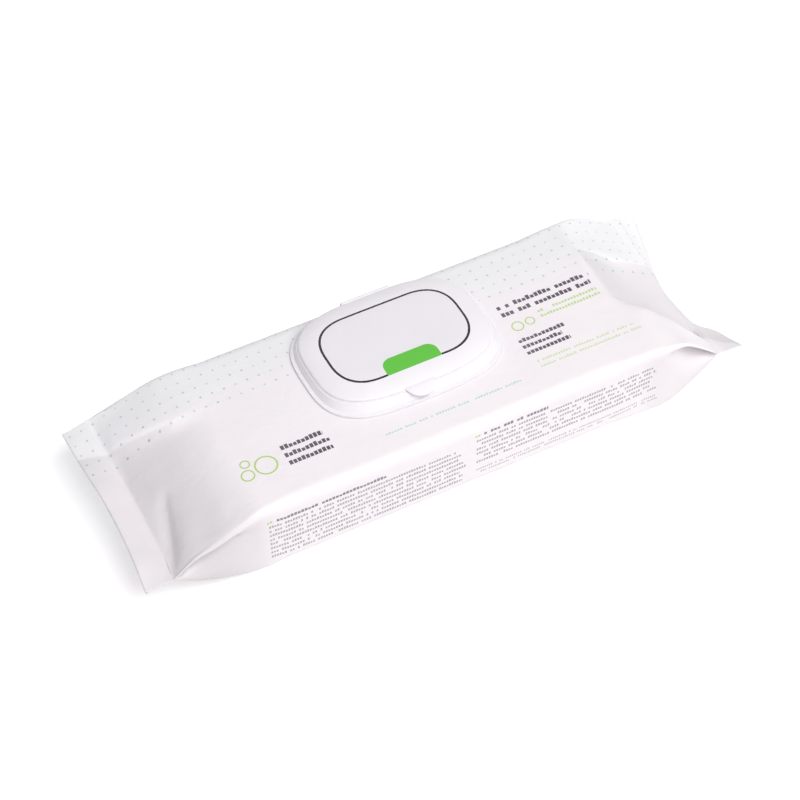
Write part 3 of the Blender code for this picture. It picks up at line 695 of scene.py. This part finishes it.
def flap_print(g, place, color, settings):
    """The panel's faint shade, the printed outline and the green field at the thumb tab,
    on the faces that look up. Returns the colour and where the ink lies."""
    flat = g.vector("MULTIPLY", place, (1.0, 1.0, 0.0))
    on_top = g.above(g.parts(g.node("TexCoord").outputs["Normal"])[2], LEAST_FACING_UP)
    from_outline = g.group("Rounded Field", vector=flat, **OUTLINE_FIELD)["Distance"]
    from_tab = g.group("Rounded Field", vector=flat, **TAB_FIELD)["Distance"]
    half_line = settings.line_width / 2
    panel = g.product(g.below(from_outline, 0.0), on_top)
    line = g.product(g.below(g.math("ABSOLUTE", from_outline), half_line), on_top)
    field = g.product(g.below(from_tab, 0.0), g.below(from_outline, half_line), on_top)
    color = g.mix(g.product(panel, 0.5), color, PANEL_SHADE)
    color = g.mix(line, color, opaque(settings.ink))
    color = g.mix(field, color, opaque(settings.label))
    return color, g.larger(line, field)


def lid_material(settings, printed):
    """Soft-gloss moulded plastic. The flap also has its printed outline and green field."""
    material, g, shader = start_material("lid_flap_plastic" if printed else "lid_plastic", settings.plastic)
    place = g.node("TexCoord").outputs["Object"]
    grain = g.group("Moulded Grain", vector=place, amount=0.06 * MM)
    color = g.mix(g.smooth(grain["Gloss"], 0.3, 0.75, 0.0, 0.35), opaque(settings.plastic), LID_CLOUD)
    gloss = g.smooth(grain["Gloss"], 0.3, 0.7, 0.28, 0.38)
    if printed:
        color, inked = flap_print(g, place, color, settings)
        gloss = g.minus(gloss, g.product(inked, 0.06))
    g.feed(shader.inputs["Base Color"], color)
    g.feed(shader.inputs["Roughness"], gloss)
    set_gloss(shader, ior=1.49, subsurface_weight=0.08, coat_weight=0.15, coat_roughness=0.2,
              subsurface_radius=(1.0, 0.9, 0.95), subsurface_scale=1.5 * MM)
    bumped(g, shader, grain["Height"])
    return material


def cloth_material(settings):
    """Wet nonwoven with tangled fibres and fine embossing, darker between the strands as painted shade."""
    material, g, shader = start_material("wet_nonwoven", settings.cloth)
    place = g.node("TexCoord").outputs["Object"]
    fibres = g.group("Nonwoven Fibres", vector=place, amount=0.22 * MM)
    damp = g.noise(place, scale=70.0, detail=3.0)
    # Painted shade: darker where the fibre strands are low
    color = g.mix(g.smooth(fibres["Tone"], 0.35, 0.75), CLOTH_GAP_PAINTED_SHADE, opaque(settings.cloth))
    color = g.mix(g.smooth(damp, 0.45, 0.7, 0.0, 0.3), color, CLOTH_DAMP)
    g.feed(shader.inputs["Base Color"], color)
    g.feed(shader.inputs["Roughness"], g.smooth(damp, 0.4, 0.7, 0.75, 0.5))
    set_gloss(shader, ior=1.4, sheen_weight=0.2, sheen_roughness=0.5)
    bumped(g, shader, fibres["Height"])
    return material


def held(share):
    """The share, held between 0 and 1."""
    return min(max(share, 0.0), 1.0)


def curve(points, at):
    """Height at a place of a smooth line through (place, height) points."""
    if at <= points[0][0]:
        return points[0][1]
    if at >= points[-1][0]:
        return points[-1][1]
    for i in range(len(points) - 1):
        if at <= points[i + 1][0]:
            break
    (left, low), (right, high) = points[i], points[i + 1]
    before = points[max(i - 1, 0)]
    after = points[min(i + 2, len(points) - 1)]
    span = right - left
    rise_in = (high - before[1]) / (right - before[0]) * span
    rise_out = (after[1] - low) / (after[0] - left) * span
    t = (at - left) / span
    return ((2 * t ** 3 - 3 * t ** 2 + 1) * low + (t ** 3 - 2 * t ** 2 + t) * rise_in
            + (3 * t ** 2 - 2 * t ** 3) * high + (t ** 3 - t ** 2) * rise_out)


def end_of(x):
    """The form of the end that x belongs to."""
    return ENDS[1 if x > 0 else -1]


def grown(reach, start, power):
    """0 at the start, 1 where the seal begins."""
    return held((reach - start) / (SEAL_INNER - start)) ** power


def fold_height(x, y, fold):
    """Height that one pressed fold gives at a point, all in millimetres."""
    line, left, right = fold
    best = None
    for (x0, y0, h0), (x1, y1, h1) in zip(line, line[1:]):
        along = Vector((x1 - x0, y1 - y0))
        to_point = Vector((x - x0, y - y0))
        share = held(to_point.dot(along) / along.length_squared)
        away = (to_point - along * share).length
        if best is None or away < best[0]:
            side = (along.x * to_point.y - along.y * to_point.x) / (along.length * max(away, 0.01))
            lean = (1 + min(max(side, -1.0), 1.0)) / 2
            best = (away, h0 + (h1 - h0) * share, right + (left - right) * lean)
    away, height, width = best
    return height * math.exp(-(away / width) ** 2)


def top_relief(x, y):
    """Folds of the top film, in metres. It stays flat under the lid."""
    if abs(x) < FLAT_REACH:
        return 0.0
    fade = held((RELIEF_STOP - abs(x)) / RELIEF_FADE)
    return sum(fold_height(x / MM, y / MM, fold) for fold in FOLDS) * MM * fade


def film_wave(point, crumple):
    """Long soft waves of the whole film, least where the wipes fill it."""
    loose = 0.4 + 1.2 * held((abs(point.x) - LOOSE_START) / LOOSE_RUN)
    from_lid = math.hypot(point.x / LID_OUTLINE[0], (point.y - LID_CENTRE) / LID_OUTLINE[1])
    clear = held((from_lid - GLUED_REACH) / GLUED_FADE)
    wave = noise.noise(point * BROAD_WAVES) + 0.6 * noise.noise(point * FINE_WAVES + WAVE_SHIFT)
    return crumple * loose * clear * wave


def top_height(x, y):
    """Height of the top film before its folds, flat over the wipes and down to the seal."""
    end = end_of(x)
    start = end["start"] * MM
    if abs(x) <= start:
        return TOP
    share = min((abs(x) - start) / (SEAL_INNER - start), 1.0)
    steps = len(end["drop"][0]) - 1
    across = [(place, curve([(k / steps, drop) for k, drop in enumerate(row)], share))
              for place, row in zip(ACROSS, end["drop"])]
    return TOP - max(curve(across, y / MM), -0.01) * (TOP - SEAL_HEIGHT)


def under_height(x, y):
    """Height of the underside. Towards the seal it lifts to the strip's own line."""
    start, power = end_of(x)["lift"]
    at_seal = top_height(math.copysign(SEAL_INNER, x), y) - SEAL_THICKNESS
    return at_seal * grown(abs(x), start * MM, power)


def section_point(x, part, side, inset=0.0):
    """A point of the film at x. part runs 0 to 6 from the middle of the top over the
    corner, down into the tuck, out of it, round the lower corner and to the middle of
    the underside. Returns y, z and the distance round the film in the flat print."""
    end = end_of(x)
    reach = abs(x)
    edge = HALF_WIDTH - inset
    low = under_height(x, side * edge) + inset
    side_top = top_height(x, side * edge) - inset
    room = max(side_top - low - 0.1 * MM, 0.02 * MM)
    radius = EDGE_RADIUS + (FOLD_RADIUS - EDGE_RADIUS) * grown(reach, FLAT_REACH, 0.6)
    radius = min(max(radius - inset, 0.2 * MM), room * 0.45)
    flat = edge - radius
    turn = radius * math.pi / 2
    corner_end = max(HALF_WIDTH - EDGE_RADIUS * (2 - math.pi / 2) + radius, flat + turn)
    if part <= 1:
        y = flat * part
        return y, top_height(x, side * y) - inset, y
    if part <= 2:
        angle = (part - 1) * math.pi / 2
        y = flat + radius * math.sin(angle)
        around = flat + (corner_end - flat) * (part - 1)
        return y, top_height(x, side * y) - inset - radius * (1 - math.cos(angle)), around
    if part <= 4:
        upper = part <= 3
        share = part - 2 if upper else 4 - part
        start = side_top - radius if upper else low + radius
        valley = curve(end["valley"], reach / MM) * MM
        valley = min(max(valley, low + radius + LEAST_NIP), side_top - radius - LEAST_NIP)
        z = start + (valley - start) * share
        tuck = TUCK_DEPTH * grown(reach, end["tuck"][0] * MM, end["tuck"][1])
        if reach >= SEAL_INNER - 1e-6:
            tuck = 0.0
        y = edge - tuck * share ** (1.2 if upper else 2.2)
        around = corner_end + side_top - radius - z
        clear = TUCK_CLEARANCE * min((edge - y) / MM, 1.0)
        above = top_height(x, side * y) + top_relief(x, side * y) - inset - clear
        beneath = under_height(x, side * y) + inset + clear
        if above > beneath:
            z = min(max(z, beneath), above)
        return y, z, around
    lower = corner_end + side_top - low - 2 * radius
    if part <= 5:
        angle = (part - 4) * math.pi / 2
        return flat + radius * math.cos(angle), low + radius * (1 - math.sin(angle)), lower + radius * angle
    share = part - 5
    y = flat * (1 - share)
    raised = FIN_STEP * (1 - grown(reach, 100 * MM, 1)) if abs(y) > FIN_HALF else 0.0
    return y, under_height(x, side * y) + inset + raised, lower + turn + flat * share


def spread(runs):
    """Places along runs of (start, stop, steps)."""
    places = [runs[0][0]]
    for start, stop, steps in runs:
        places += [start + (stop - start) * k / steps for k in range(1, steps + 1)]
    return places


def film_point(x, part, side, crumple, crimp, inset=0.0):
    """Where a point of the flat film lies on the pack, and its place in the print."""
    along = 1 if x > 0 else -1
    end = end_of(x)
    sealed = max(abs(x) - SEAL_INNER, 0.0)
    y, z, around = section_point(max(min(x, SEAL_INNER), -SEAL_INNER), part, side, inset)
    y *= side
    top_share = 1.0 if part <= 1 else max(0.0, 2 - part)
    z += top_relief(x, y) * max(top_share, grown(abs(x), 138 * MM, 1.0))
    pull = curve(end["pull"], y / MM) * MM * grown(abs(x), PULL_START, 1.5)
    point = Vector((x - along * pull, y, z))
    if sealed > 0:
        bend = math.radians(curve(end["tilt"], y / MM)) * min(sealed / BEND_RUN, 1.0)
        middle = z - SEAL_THICKNESS / 2 if part < 3 else z + SEAL_THICKNESS / 2
        closed = CUT_EDGE_SHARE + (1 - CUT_EDGE_SHARE) * min((SEAL_DEPTH - sealed) / MM, 1.0)
        ridge = crimp * math.sin(sealed / SEAL_DEPTH * 2 * math.pi * CRIMP_RIDGES)
        layer = (z - middle) * closed + ridge
        point.x = along * (SEAL_INNER - pull + sealed * math.cos(bend) + layer * math.sin(bend))
        point.z = middle - sealed * math.sin(bend) + layer * math.cos(bend)
    wave = film_wave(point, crumple)
    if part <= 1 or sealed > 0:
        point.z += wave
    elif 1.5 < part < 4.5:
        point.y += side * wave * 0.8
    return point, (x, around * side)


def wrap_places(bm, stations, half):
    """Lays a flat grid in the bmesh and tells of each vertex where it goes, as (vertex,
    x, part, side). half lists the parts of one side."""
    parts = [(part, -1) for part in reversed(half)] + [(part, 1) for part in half[1:]]
    columns, rows = len(stations) - 1, len(parts) - 1
    bmesh.ops.create_grid(bm, x_segments=columns, y_segments=rows, size=0.5)
    for vert in bm.verts:
        part, side = parts[round((vert.co.y + 0.5) * rows)]
        yield vert, stations[round((vert.co.x + 0.5) * columns)], part, side


def build_film_mesh(settings):
    """The film as one skin: a flat grid wrapped round the pack and pressed thin at its ends."""
    bm = bmesh.new()
    uv_layer = bm.loops.layers.uv.new("film")
    flat = {}
    for vert, x, part, side in wrap_places(bm, spread(FILM_ALONG), spread(FILM_AROUND)):
        vert.co, flat[vert] = film_point(x, part, side, settings.crumple, settings.crimp)
    for face in bm.faces:
        for loop in face.loops:
            loop[uv_layer].uv = flat[loop.vert]
    return bm


def window_reach(point):
    """0 at the window's middle and 1 on its rounded outline."""
    x = abs(point.x) / WINDOW[0]
    y = abs(point.y - LID_CENTRE) / WINDOW[1]
    return (x ** LID_SQUARENESS + y ** LID_SQUARENESS) ** (1 / LID_SQUARENESS)


def cut_window(bm):
    """Opens the film under the lid and rounds the cut edge to its true outline."""
    least_z = TOP - 3 * MM
    centres = {face: face.calc_center_median() for face in bm.faces}
    inside = [face for face, at in centres.items() if at.z >= least_z and window_reach(at) < 1]
    bmesh.ops.delete(bm, geom=inside, context="FACES")
    for vert in bm.verts:
        if vert.is_boundary and abs(vert.co.x) < WINDOW[0] + 4 * MM and vert.co.z > least_z:
            size = window_reach(vert.co)
            vert.co.x /= size
            vert.co.y = LID_CENTRE + (vert.co.y - LID_CENTRE) / size


def lay_top_wipe(point):
    """The top wipe: a groove at its free edge under the window, one sheet lower behind
    it, and the cloth's own soft waves."""
    across = point.y - LID_CENTRE
    point.z -= TOP_GAP + GROOVE_DEPTH * math.exp(-(across / GROOVE_WIDTH) ** 2)
    if across > 0:
        point.z -= WIPE_STEP
    point.z += CLOTH_WAVE * noise.noise(point * CLOTH_WAVES)
    return point


def link(name, data):
    """A new object in the scene."""
    made = bpy.data.objects.new(name, data)
    bpy.context.scene.collection.objects.link(made)
    return made


def finish_object(name, bm, material, body, replaced=None, sharp=35):
    """Turns a bmesh into a shaded piece that rides on a body."""
    mesh = bpy.data.meshes.new(name)
    bm.to_mesh(mesh)
    bm.free()
    mesh.materials.append(material)
    mesh.shade_smooth()
    mesh.set_sharp_from_angle(angle=math.radians(sharp))
    made = link(name, mesh)
    if body:
        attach(made, body)
    if replaced:
        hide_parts(replaced)
    return made


def oval(outline):
    """Points on the lid's rounded outline (half length, half width, centre)."""
    half_length, half_width, centre = outline
    ring = []
    for k in range(RING_POINTS):
        angle = 2 * math.pi * k / RING_POINTS
        c, s = math.cos(angle), math.sin(angle)
        ring.append((half_length * math.copysign(abs(c) ** (2 / LID_SQUARENESS), c),
                     centre + half_width * math.copysign(abs(s) ** (2 / LID_SQUARENESS), s)))
    return ring


def swept_oval(profile, closed):
    """A moulded form: a ring of edges pulled through the profile's outlines and heights."""
    bm = bmesh.new()
    ring = bmesh.ops.create_circle(bm, segments=RING_POINTS, radius=1.0)["verts"]
    order = sorted(ring, key=lambda vert: math.atan2(vert.co.y, vert.co.x) % (2 * math.pi))
    edges = list(bm.edges)
    first = edges
    for index, (outline, z) in enumerate(profile):
        if index:
            raised = bmesh.ops.extrude_edge_only(bm, edges=edges)["geom"]
            edges = [item for item in raised if isinstance(item, bmesh.types.BMEdge)]
            verts = {vert for edge in edges for vert in edge.verts}
            partner = {}
            for vert in verts:
                for edge in vert.link_edges:
                    other = edge.other_vert(vert)
                    if other in order_index:
                        partner[vert] = order_index[other]
            order = sorted(verts, key=lambda vert: partner[vert])
        order_index = {vert: k for k, vert in enumerate(order)}
        for vert, (x, y) in zip(order, oval(outline)):
            vert.co = (x, y, z)
    if closed:
        bmesh.ops.bridge_loops(bm, edges=first + edges)
    else:
        bmesh.ops.contextual_create(bm, geom=first)
        bmesh.ops.contextual_create(bm, geom=edges)
    bmesh.ops.recalc_face_normals(bm, faces=bm.faces)
    return bm


def shrunk(outline, side, front=None, back=None):
    """An outline (half length, half width, centre) moved in at its sides, front and back."""
    half_length, half_width, centre = outline
    front = side if front is None else front
    back = side if back is None else back
    return (half_length - side, half_width - (front + back) / 2, centre + (front - back) / 2)


RIM = shrunk(LID_OUTLINE, 3.8 * MM, 5.2 * MM, 2.4 * MM)
APERTURE = (36 * MM, 19 * MM, RIM[2])
FLAP_OUTLINE = shrunk(RIM, 0.5 * MM)
LID_BASE = FRAME_LOW.z
RIM_TOP = LID_BASE + 5.0 * MM
FLAP_UNDER = LID_BASE + 5.12 * MM
FLAP_TOP = LID_BASE + 6.0 * MM
FLAP_WALL = 1.1 * MM
FLAP_STEPS = 18
DOME_RUN = 18 * MM
DOME_RISE = 2.65 * MM
ROUND_STEPS = 4

# Thumb tab: a disc that reaches out under the flap's front edge and bends down
TAB_RADIUS = 8.4 * MM
TAB_REACH = 6.2 * MM
TAB_X = -2.5 * MM
TAB_DROP = 1.5 * MM
TAB_CUTS = 8


def dome_height(run):
    """Height of the flap's domed top this far in from its edge."""
    share = min(run / DOME_RUN, 1.0)
    return FLAP_TOP + DOME_RISE * (1 - (1 - share) ** 3)


def rounded_profile(points, radii):
    """The profile of (outline, z) points with its marked corners turned into small
    rounds. radii gives a corner's round in millimetres by its index."""
    spots = [Vector((*outline, z)) for outline, z in points]
    made = []
    for index, here in enumerate(spots):
        if index not in radii:
            made.append(points[index])
            continue
        ends = []
        for other in (spots[index - 1], spots[(index + 1) % len(spots)]):
            away = other - here
            ends.append(here + away.normalized() * min(radii[index] * MM, away.length * 0.45))
        for step in range(ROUND_STEPS + 1):
            share = step / ROUND_STEPS
            mixed = ends[0] * (1 - share) ** 2 + here * 2 * share * (1 - share) + ends[1] * share ** 2
            made.append((tuple(mixed[:3]), mixed[3]))
    return made


def slice_across(bm, y, **clear):
    """Cuts a mesh by the upright plane at y."""
    whole = bm.verts[:] + bm.edges[:] + bm.faces[:]
    bmesh.ops.bisect_plane(bm, geom=whole, plane_co=(0.0, y, 0.0), plane_no=(0.0, 1.0, 0.0), **clear)


class WIPES_OT_film(bpy.types.Operator):
    """Wrap the printed film round the wipes"""

    bl_idname = "wipes.film"
    bl_label = "Film Wrap"

    def execute(self, context):
        make_groups()
        settings = context.scene.wipes_film
        bm = build_film_mesh(settings)
        cut_window(bm)
        bmesh.ops.remove_doubles(bm, verts=bm.verts, dist=MERGE_DISTANCE)
        bmesh.ops.recalc_face_normals(bm, faces=bm.faces)
        film = finish_object("film", bm, film_material(settings), "pack", "film_wrap", 50)
        wall = film.modifiers.new("wall", "SOLIDIFY")
        wall.thickness = settings.wall
        wall.offset = -1.0
        return {"FINISHED"}


class WIPES_OT_stack(bpy.types.Operator):
    """Lay the stack of folded wipes"""

    bl_idname = "wipes.stack"
    bl_label = "Folded Wipes"

    def execute(self, context):
        make_groups()
        bm = bmesh.new()
        for vert, x, part, side in wrap_places(bm, spread(STACK_ALONG), spread(STACK_AROUND)):
            point, _ = film_point(x, part, side, 0.0, 0.0, STACK_INSET)
            vert.co = lay_top_wipe(point) if part <= 1 else point
        bmesh.ops.remove_doubles(bm, verts=bm.verts, dist=MERGE_DISTANCE)
        bmesh.ops.holes_fill(bm, edges=[edge for edge in bm.edges if edge.is_boundary])
        bmesh.ops.recalc_face_normals(bm, faces=bm.faces)
        finish_object("folded_wipes", bm, cloth_material(context.scene.wipes_cloth), "pack",
                      "wipes_stack", 40)
        return {"FINISHED"}


class WIPES_OT_lid_frame(bpy.types.Operator):
    """Mould the frame that is glued to the film"""

    bl_idname = "wipes.lid_frame"
    bl_label = "Lid Frame"

    def execute(self, context):
        make_groups()
        wall = 1.0 * MM
        land = 2.2 * MM
        tray_floor = LID_BASE + 1.1 * MM
        upstand_top = LID_BASE + 3.2 * MM
        root = shrunk(LID_OUTLINE, 1.1 * MM)
        tray = shrunk(RIM, land + 0.2 * MM)
        hollow = shrunk(RIM, land - 0.8 * MM)
        upstand = shrunk(APERTURE, -wall)
        profile = [
            (LID_OUTLINE, LID_BASE),
            (LID_OUTLINE, LID_BASE + 0.9 * MM),
            (root, tray_floor),
            (RIM, RIM_TOP - 0.4 * MM),
            (shrunk(RIM, 0.4 * MM), RIM_TOP),
            (shrunk(RIM, land), RIM_TOP),
            (tray, tray_floor),
            (upstand, tray_floor),
            (upstand, upstand_top),
            (APERTURE, upstand_top),
            (APERTURE, LID_BASE),
            (hollow, LID_BASE),
            (hollow, RIM_TOP - wall),
            (shrunk(RIM, wall), RIM_TOP - wall),
            (shrunk(root, wall * 1.2), LID_BASE),
        ]
        radii = dict(enumerate((0.35, 0.9, 0.6, 0.5, 0.3, 0.5, 0.4, 0.3, 0.3, 0.2), start=1))
        bm = swept_oval(rounded_profile(profile, radii), closed=True)
        material = lid_material(context.scene.wipes_lid, printed=False)
        finish_object("lid_frame_moulding", bm, material, "pack", "lid_frame", 40)

        block = bmesh.new()
        bmesh.ops.create_cube(block, size=1.0)
        low = Vector((-13.5 * MM, HINGE.y + 0.15 * MM, RIM_TOP - 1.2 * MM))
        high = Vector((13.5 * MM, HINGE.y + 1.05 * MM, HINGE.z))
        bmesh.ops.scale(block, vec=high - low, verts=block.verts)
        bmesh.ops.translate(block, vec=(low + high) / 2, verts=block.verts)
        bmesh.ops.bevel(block, geom=block.edges, offset=0.22 * MM, segments=3, affect="EDGES",
                        profile=0.5, material=-1)
        finish_object("hinge_block", block, material, "pack")
        return {"FINISHED"}


class WIPES_OT_lid_flap(bpy.types.Operator):
    """Mould the flap with its thumb tab"""

    bl_idname = "wipes.lid_flap"
    bl_label = "Lid Flap"

    def execute(self, context):
        make_groups()
        edge = FLAP_OUTLINE
        plug_in = shrunk(APERTURE, -1.6 * MM)
        plug_out = shrunk(plug_in, -1.0 * MM)
        plug_foot = LID_BASE + 2.4 * MM
        ceiling = dome_height(9 * MM) - FLAP_WALL
        profile = [
            (shrunk(edge, DOME_RUN), dome_height(DOME_RUN) - FLAP_WALL),
            (plug_in, ceiling),
            (plug_in, plug_foot),
            (plug_out, plug_foot),
            (plug_out, ceiling - 0.2 * FLAP_WALL),
            (shrunk(edge, 4 * MM), dome_height(4 * MM) - FLAP_WALL),
            (shrunk(edge, 1.1 * MM), FLAP_UNDER),
            (edge, FLAP_UNDER),
            (edge, FLAP_TOP - 0.15 * MM),
        ]
        first_run = 0.35 * MM
        for step in range(FLAP_STEPS + 1):
            run = first_run + (DOME_RUN - first_run) * (step / FLAP_STEPS) ** 1.4
            profile.append((shrunk(edge, run), dome_height(run)))
        bm = swept_oval(rounded_profile(profile, {2: 0.3, 3: 0.3, 7: 0.15, 8: 0.6}), closed=False)
        material = lid_material(context.scene.wipes_lid, printed=True)
        finish_object("lid_flap_moulding", bm, material, "lid", "lid_flap", 40)

        tab = bmesh.new()
        bmesh.ops.create_circle(tab, cap_ends=True, segments=64, radius=TAB_RADIUS)
        front = edge[2] - edge[1]
        centre = (TAB_X, front - TAB_REACH + TAB_RADIUS, FLAP_UNDER + 0.08 * MM)
        bmesh.ops.translate(tab, verts=tab.verts, vec=centre)
        raised = bmesh.ops.extrude_face_region(tab, geom=tab.faces[:])["geom"]
        upper = [item for item in raised if isinstance(item, bmesh.types.BMVert)]
        bmesh.ops.translate(tab, verts=upper, vec=(0.0, 0.0, FLAP_WALL))
        bmesh.ops.recalc_face_normals(tab, faces=tab.faces)
        rim = [e for e in tab.edges if len(e.link_faces) == 2 and e.calc_face_angle(0.0) > 1.0]
        bmesh.ops.bevel(tab, geom=rim, offset=0.35 * MM, segments=4, affect="EDGES", profile=0.5, material=-1)
        for cut in range(TAB_CUTS):
            slice_across(tab, front - TAB_REACH * cut / TAB_CUTS)
        slice_across(tab, front + 0.9 * MM, clear_outer=True)
        bmesh.ops.holes_fill(tab, edges=[e for e in tab.edges if e.is_boundary])
        for vert in tab.verts:
            vert.co.z -= TAB_DROP * (max(front - vert.co.y, 0.0) / TAB_REACH) ** 1.3
        finish_object("thumb_tab", tab, material, "lid")
        return {"FINISHED"}


class WIPES_OT_hinge(bpy.types.Operator):
    """Lay the thin web of the living hinge"""

    bl_idname = "wipes.hinge"
    bl_label = "Living Hinge"

    def execute(self, context):
        make_groups()
        length, width = 26.4 * MM, 1.8 * MM
        crown, sag = 0.12 * MM, 0.25 * MM
        web = bmesh.new()
        bmesh.ops.create_grid(web, x_segments=54, y_segments=16, size=0.5)
        for vert in web.verts:
            x, across, _ = vert.co
            vert.co = (x * length, HINGE.y + across * width, HINGE.z + crown - sag * (2 * across) ** 2)
        bmesh.ops.solidify(web, geom=web.faces[:], thickness=context.scene.wipes_lid.hinge_web)
        bmesh.ops.recalc_face_normals(web, faces=web.faces)
        piece = finish_object("hinge_web", web, bpy.data.materials["lid_plastic"], None)
        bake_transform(piece)
        return {"FINISHED"}


def make_camera(settings):
    """The camera, turned and shifted as the photograph's was."""
    a, e, r = settings.azimuth, settings.elevation, settings.roll
    right = Vector((math.cos(a), math.sin(a), 0.0))
    ahead = Vector((-math.sin(a) * math.cos(e), math.cos(a) * math.cos(e), -math.sin(e)))
    up = right.cross(ahead)
    side = right * math.cos(r) + up * math.sin(r)
    high = up * math.cos(r) - right * math.sin(r)
    place = side * settings.aim[0] + high * settings.aim[1] - ahead * settings.distance
    camera = link("camera", bpy.data.cameras.new("camera"))
    camera.matrix_world = Matrix.Translation(place) @ Matrix((side, high, -ahead)).transposed().to_4x4()
    camera.data.sensor_width = 36.0
    camera.data.lens = settings.lens
    camera.data.clip_start = 10 * MM
    bpy.context.scene.camera = camera


def seen_directly(g):
    """1 where the ray comes from the camera, off a gloss or through something clear."""
    seen = g.node("LightPath").outputs
    return g.larger(seen["Is Camera Ray"], seen["Is Glossy Ray"], seen["Is Transmission Ray"])


def make_floor():
    """The pale floor, white where it is seen and a little grey where it lights the pack."""
    bm = bmesh.new()
    bmesh.ops.create_grid(bm, x_segments=1, y_segments=1, size=3.0)
    mesh = bpy.data.meshes.new("floor")
    bm.to_mesh(mesh)
    bm.free()
    material, g, shader = start_material("floor", (0.9, 0.9, 0.9))
    direct = seen_directly(g)
    g.feed(shader.inputs["Base Color"], g.mix(direct, FLOOR_SHADE, WHITE))
    set_gloss(shader, roughness=0.9, emission_color=WHITE)
    shader.inputs["Specular IOR Level"].default_value = 0.0
    g.feed(shader.inputs["Emission Strength"], g.product(direct, 0.35))
    mesh.materials.append(material)
    link("floor", mesh)


def make_world(settings):
    """Light from all round that falls to half towards the back."""
    world = bpy.data.worlds.new("studio")
    bpy.context.scene.world = world
    world.use_nodes = True
    g = Graph(world.node_tree)
    background = world.node_tree.nodes["Background"]
    direct = seen_directly(g)
    g.feed(background.inputs["Color"], g.mix(direct, WORLD_SHADE, WHITE))
    towards_back = g.parts(g.node("TexCoord").outputs["Generated"])[1]
    level = g.smooth(towards_back, 0.0, 0.75, settings.world_light, settings.world_light * 0.5)
    g.feed(background.inputs["Strength"], g.larger(level, direct))


def make_key_lamp(settings):
    """The wide soft lamp in front of the pack and above it."""
    lamp = bpy.data.lights.new("key", "AREA")
    lamp.shape = "RECTANGLE"
    lamp.size, lamp.size_y = 1.2, 0.9
    lamp.energy = settings.key_light
    lamp.color = (1.0, 0.985, 0.97)
    key = link("key", lamp)
    key.location = (0.28, -0.80, 1.30)
    aim = Vector((0.0, 0.0, 20 * MM))
    key.rotation_euler = (aim - key.location).to_track_quat("-Z", "Y").to_euler()


class WIPES_OT_stage(bpy.types.Operator):
    """Set the camera, the light and the pale floor"""

    bl_idname = "wipes.stage"
    bl_label = "Stage"

    def execute(self, context):
        settings = context.scene.wipes_stage
        make_camera(settings)
        make_floor()
        make_world(settings)
        make_key_lamp(settings)
        context.scene.view_settings.view_transform = "Standard"
        return {"FINISHED"}


OPERATORS = (WIPES_OT_stage, WIPES_OT_film, WIPES_OT_stack, WIPES_OT_lid_frame, WIPES_OT_lid_flap,
             WIPES_OT_hinge)


class WIPES_PT_panel(bpy.types.Panel):
    """Buttons and sizes of the wet wipes pack"""

    bl_label = "Wet Wipes Pack"
    bl_idname = "WIPES_PT_panel"
    bl_space_type = "VIEW_3D"
    bl_region_type = "UI"
    bl_category = "Wipes Pack"

    def draw(self, context):
        for operator in OPERATORS:
            self.layout.operator(operator.bl_idname)
        for name in SETTINGS:
            group = getattr(context.scene, name)
            for key in group.bl_rna.properties.keys():
                if key not in ("rna_type", "name"):
                    self.layout.prop(group, key)


SETTINGS = {"wipes_film": FilmSettings, "wipes_lid": LidSettings, "wipes_cloth": WipesSettings,
            "wipes_stage": StageSettings}
CLASSES = (*SETTINGS.values(), *OPERATORS, WIPES_PT_panel)


def register():
    for item in CLASSES:
        bpy.utils.register_class(item)
    for name, kind in SETTINGS.items():
        setattr(bpy.types.Scene, name, bpy.props.PointerProperty(type=kind))


def unregister():
    for name in SETTINGS:
        delattr(bpy.types.Scene, name)
    for item in reversed(CLASSES):
        bpy.utils.unregister_class(item)


def main():
    """Builds every piece in order."""
    register()
    bpy.ops.wipes.stage()
    bpy.ops.wipes.film()
    bpy.ops.wipes.stack()
    bpy.ops.wipes.lid_frame()
    bpy.ops.wipes.lid_flap()
    bpy.ops.wipes.hinge()


if __name__ == "__main__":
    main()
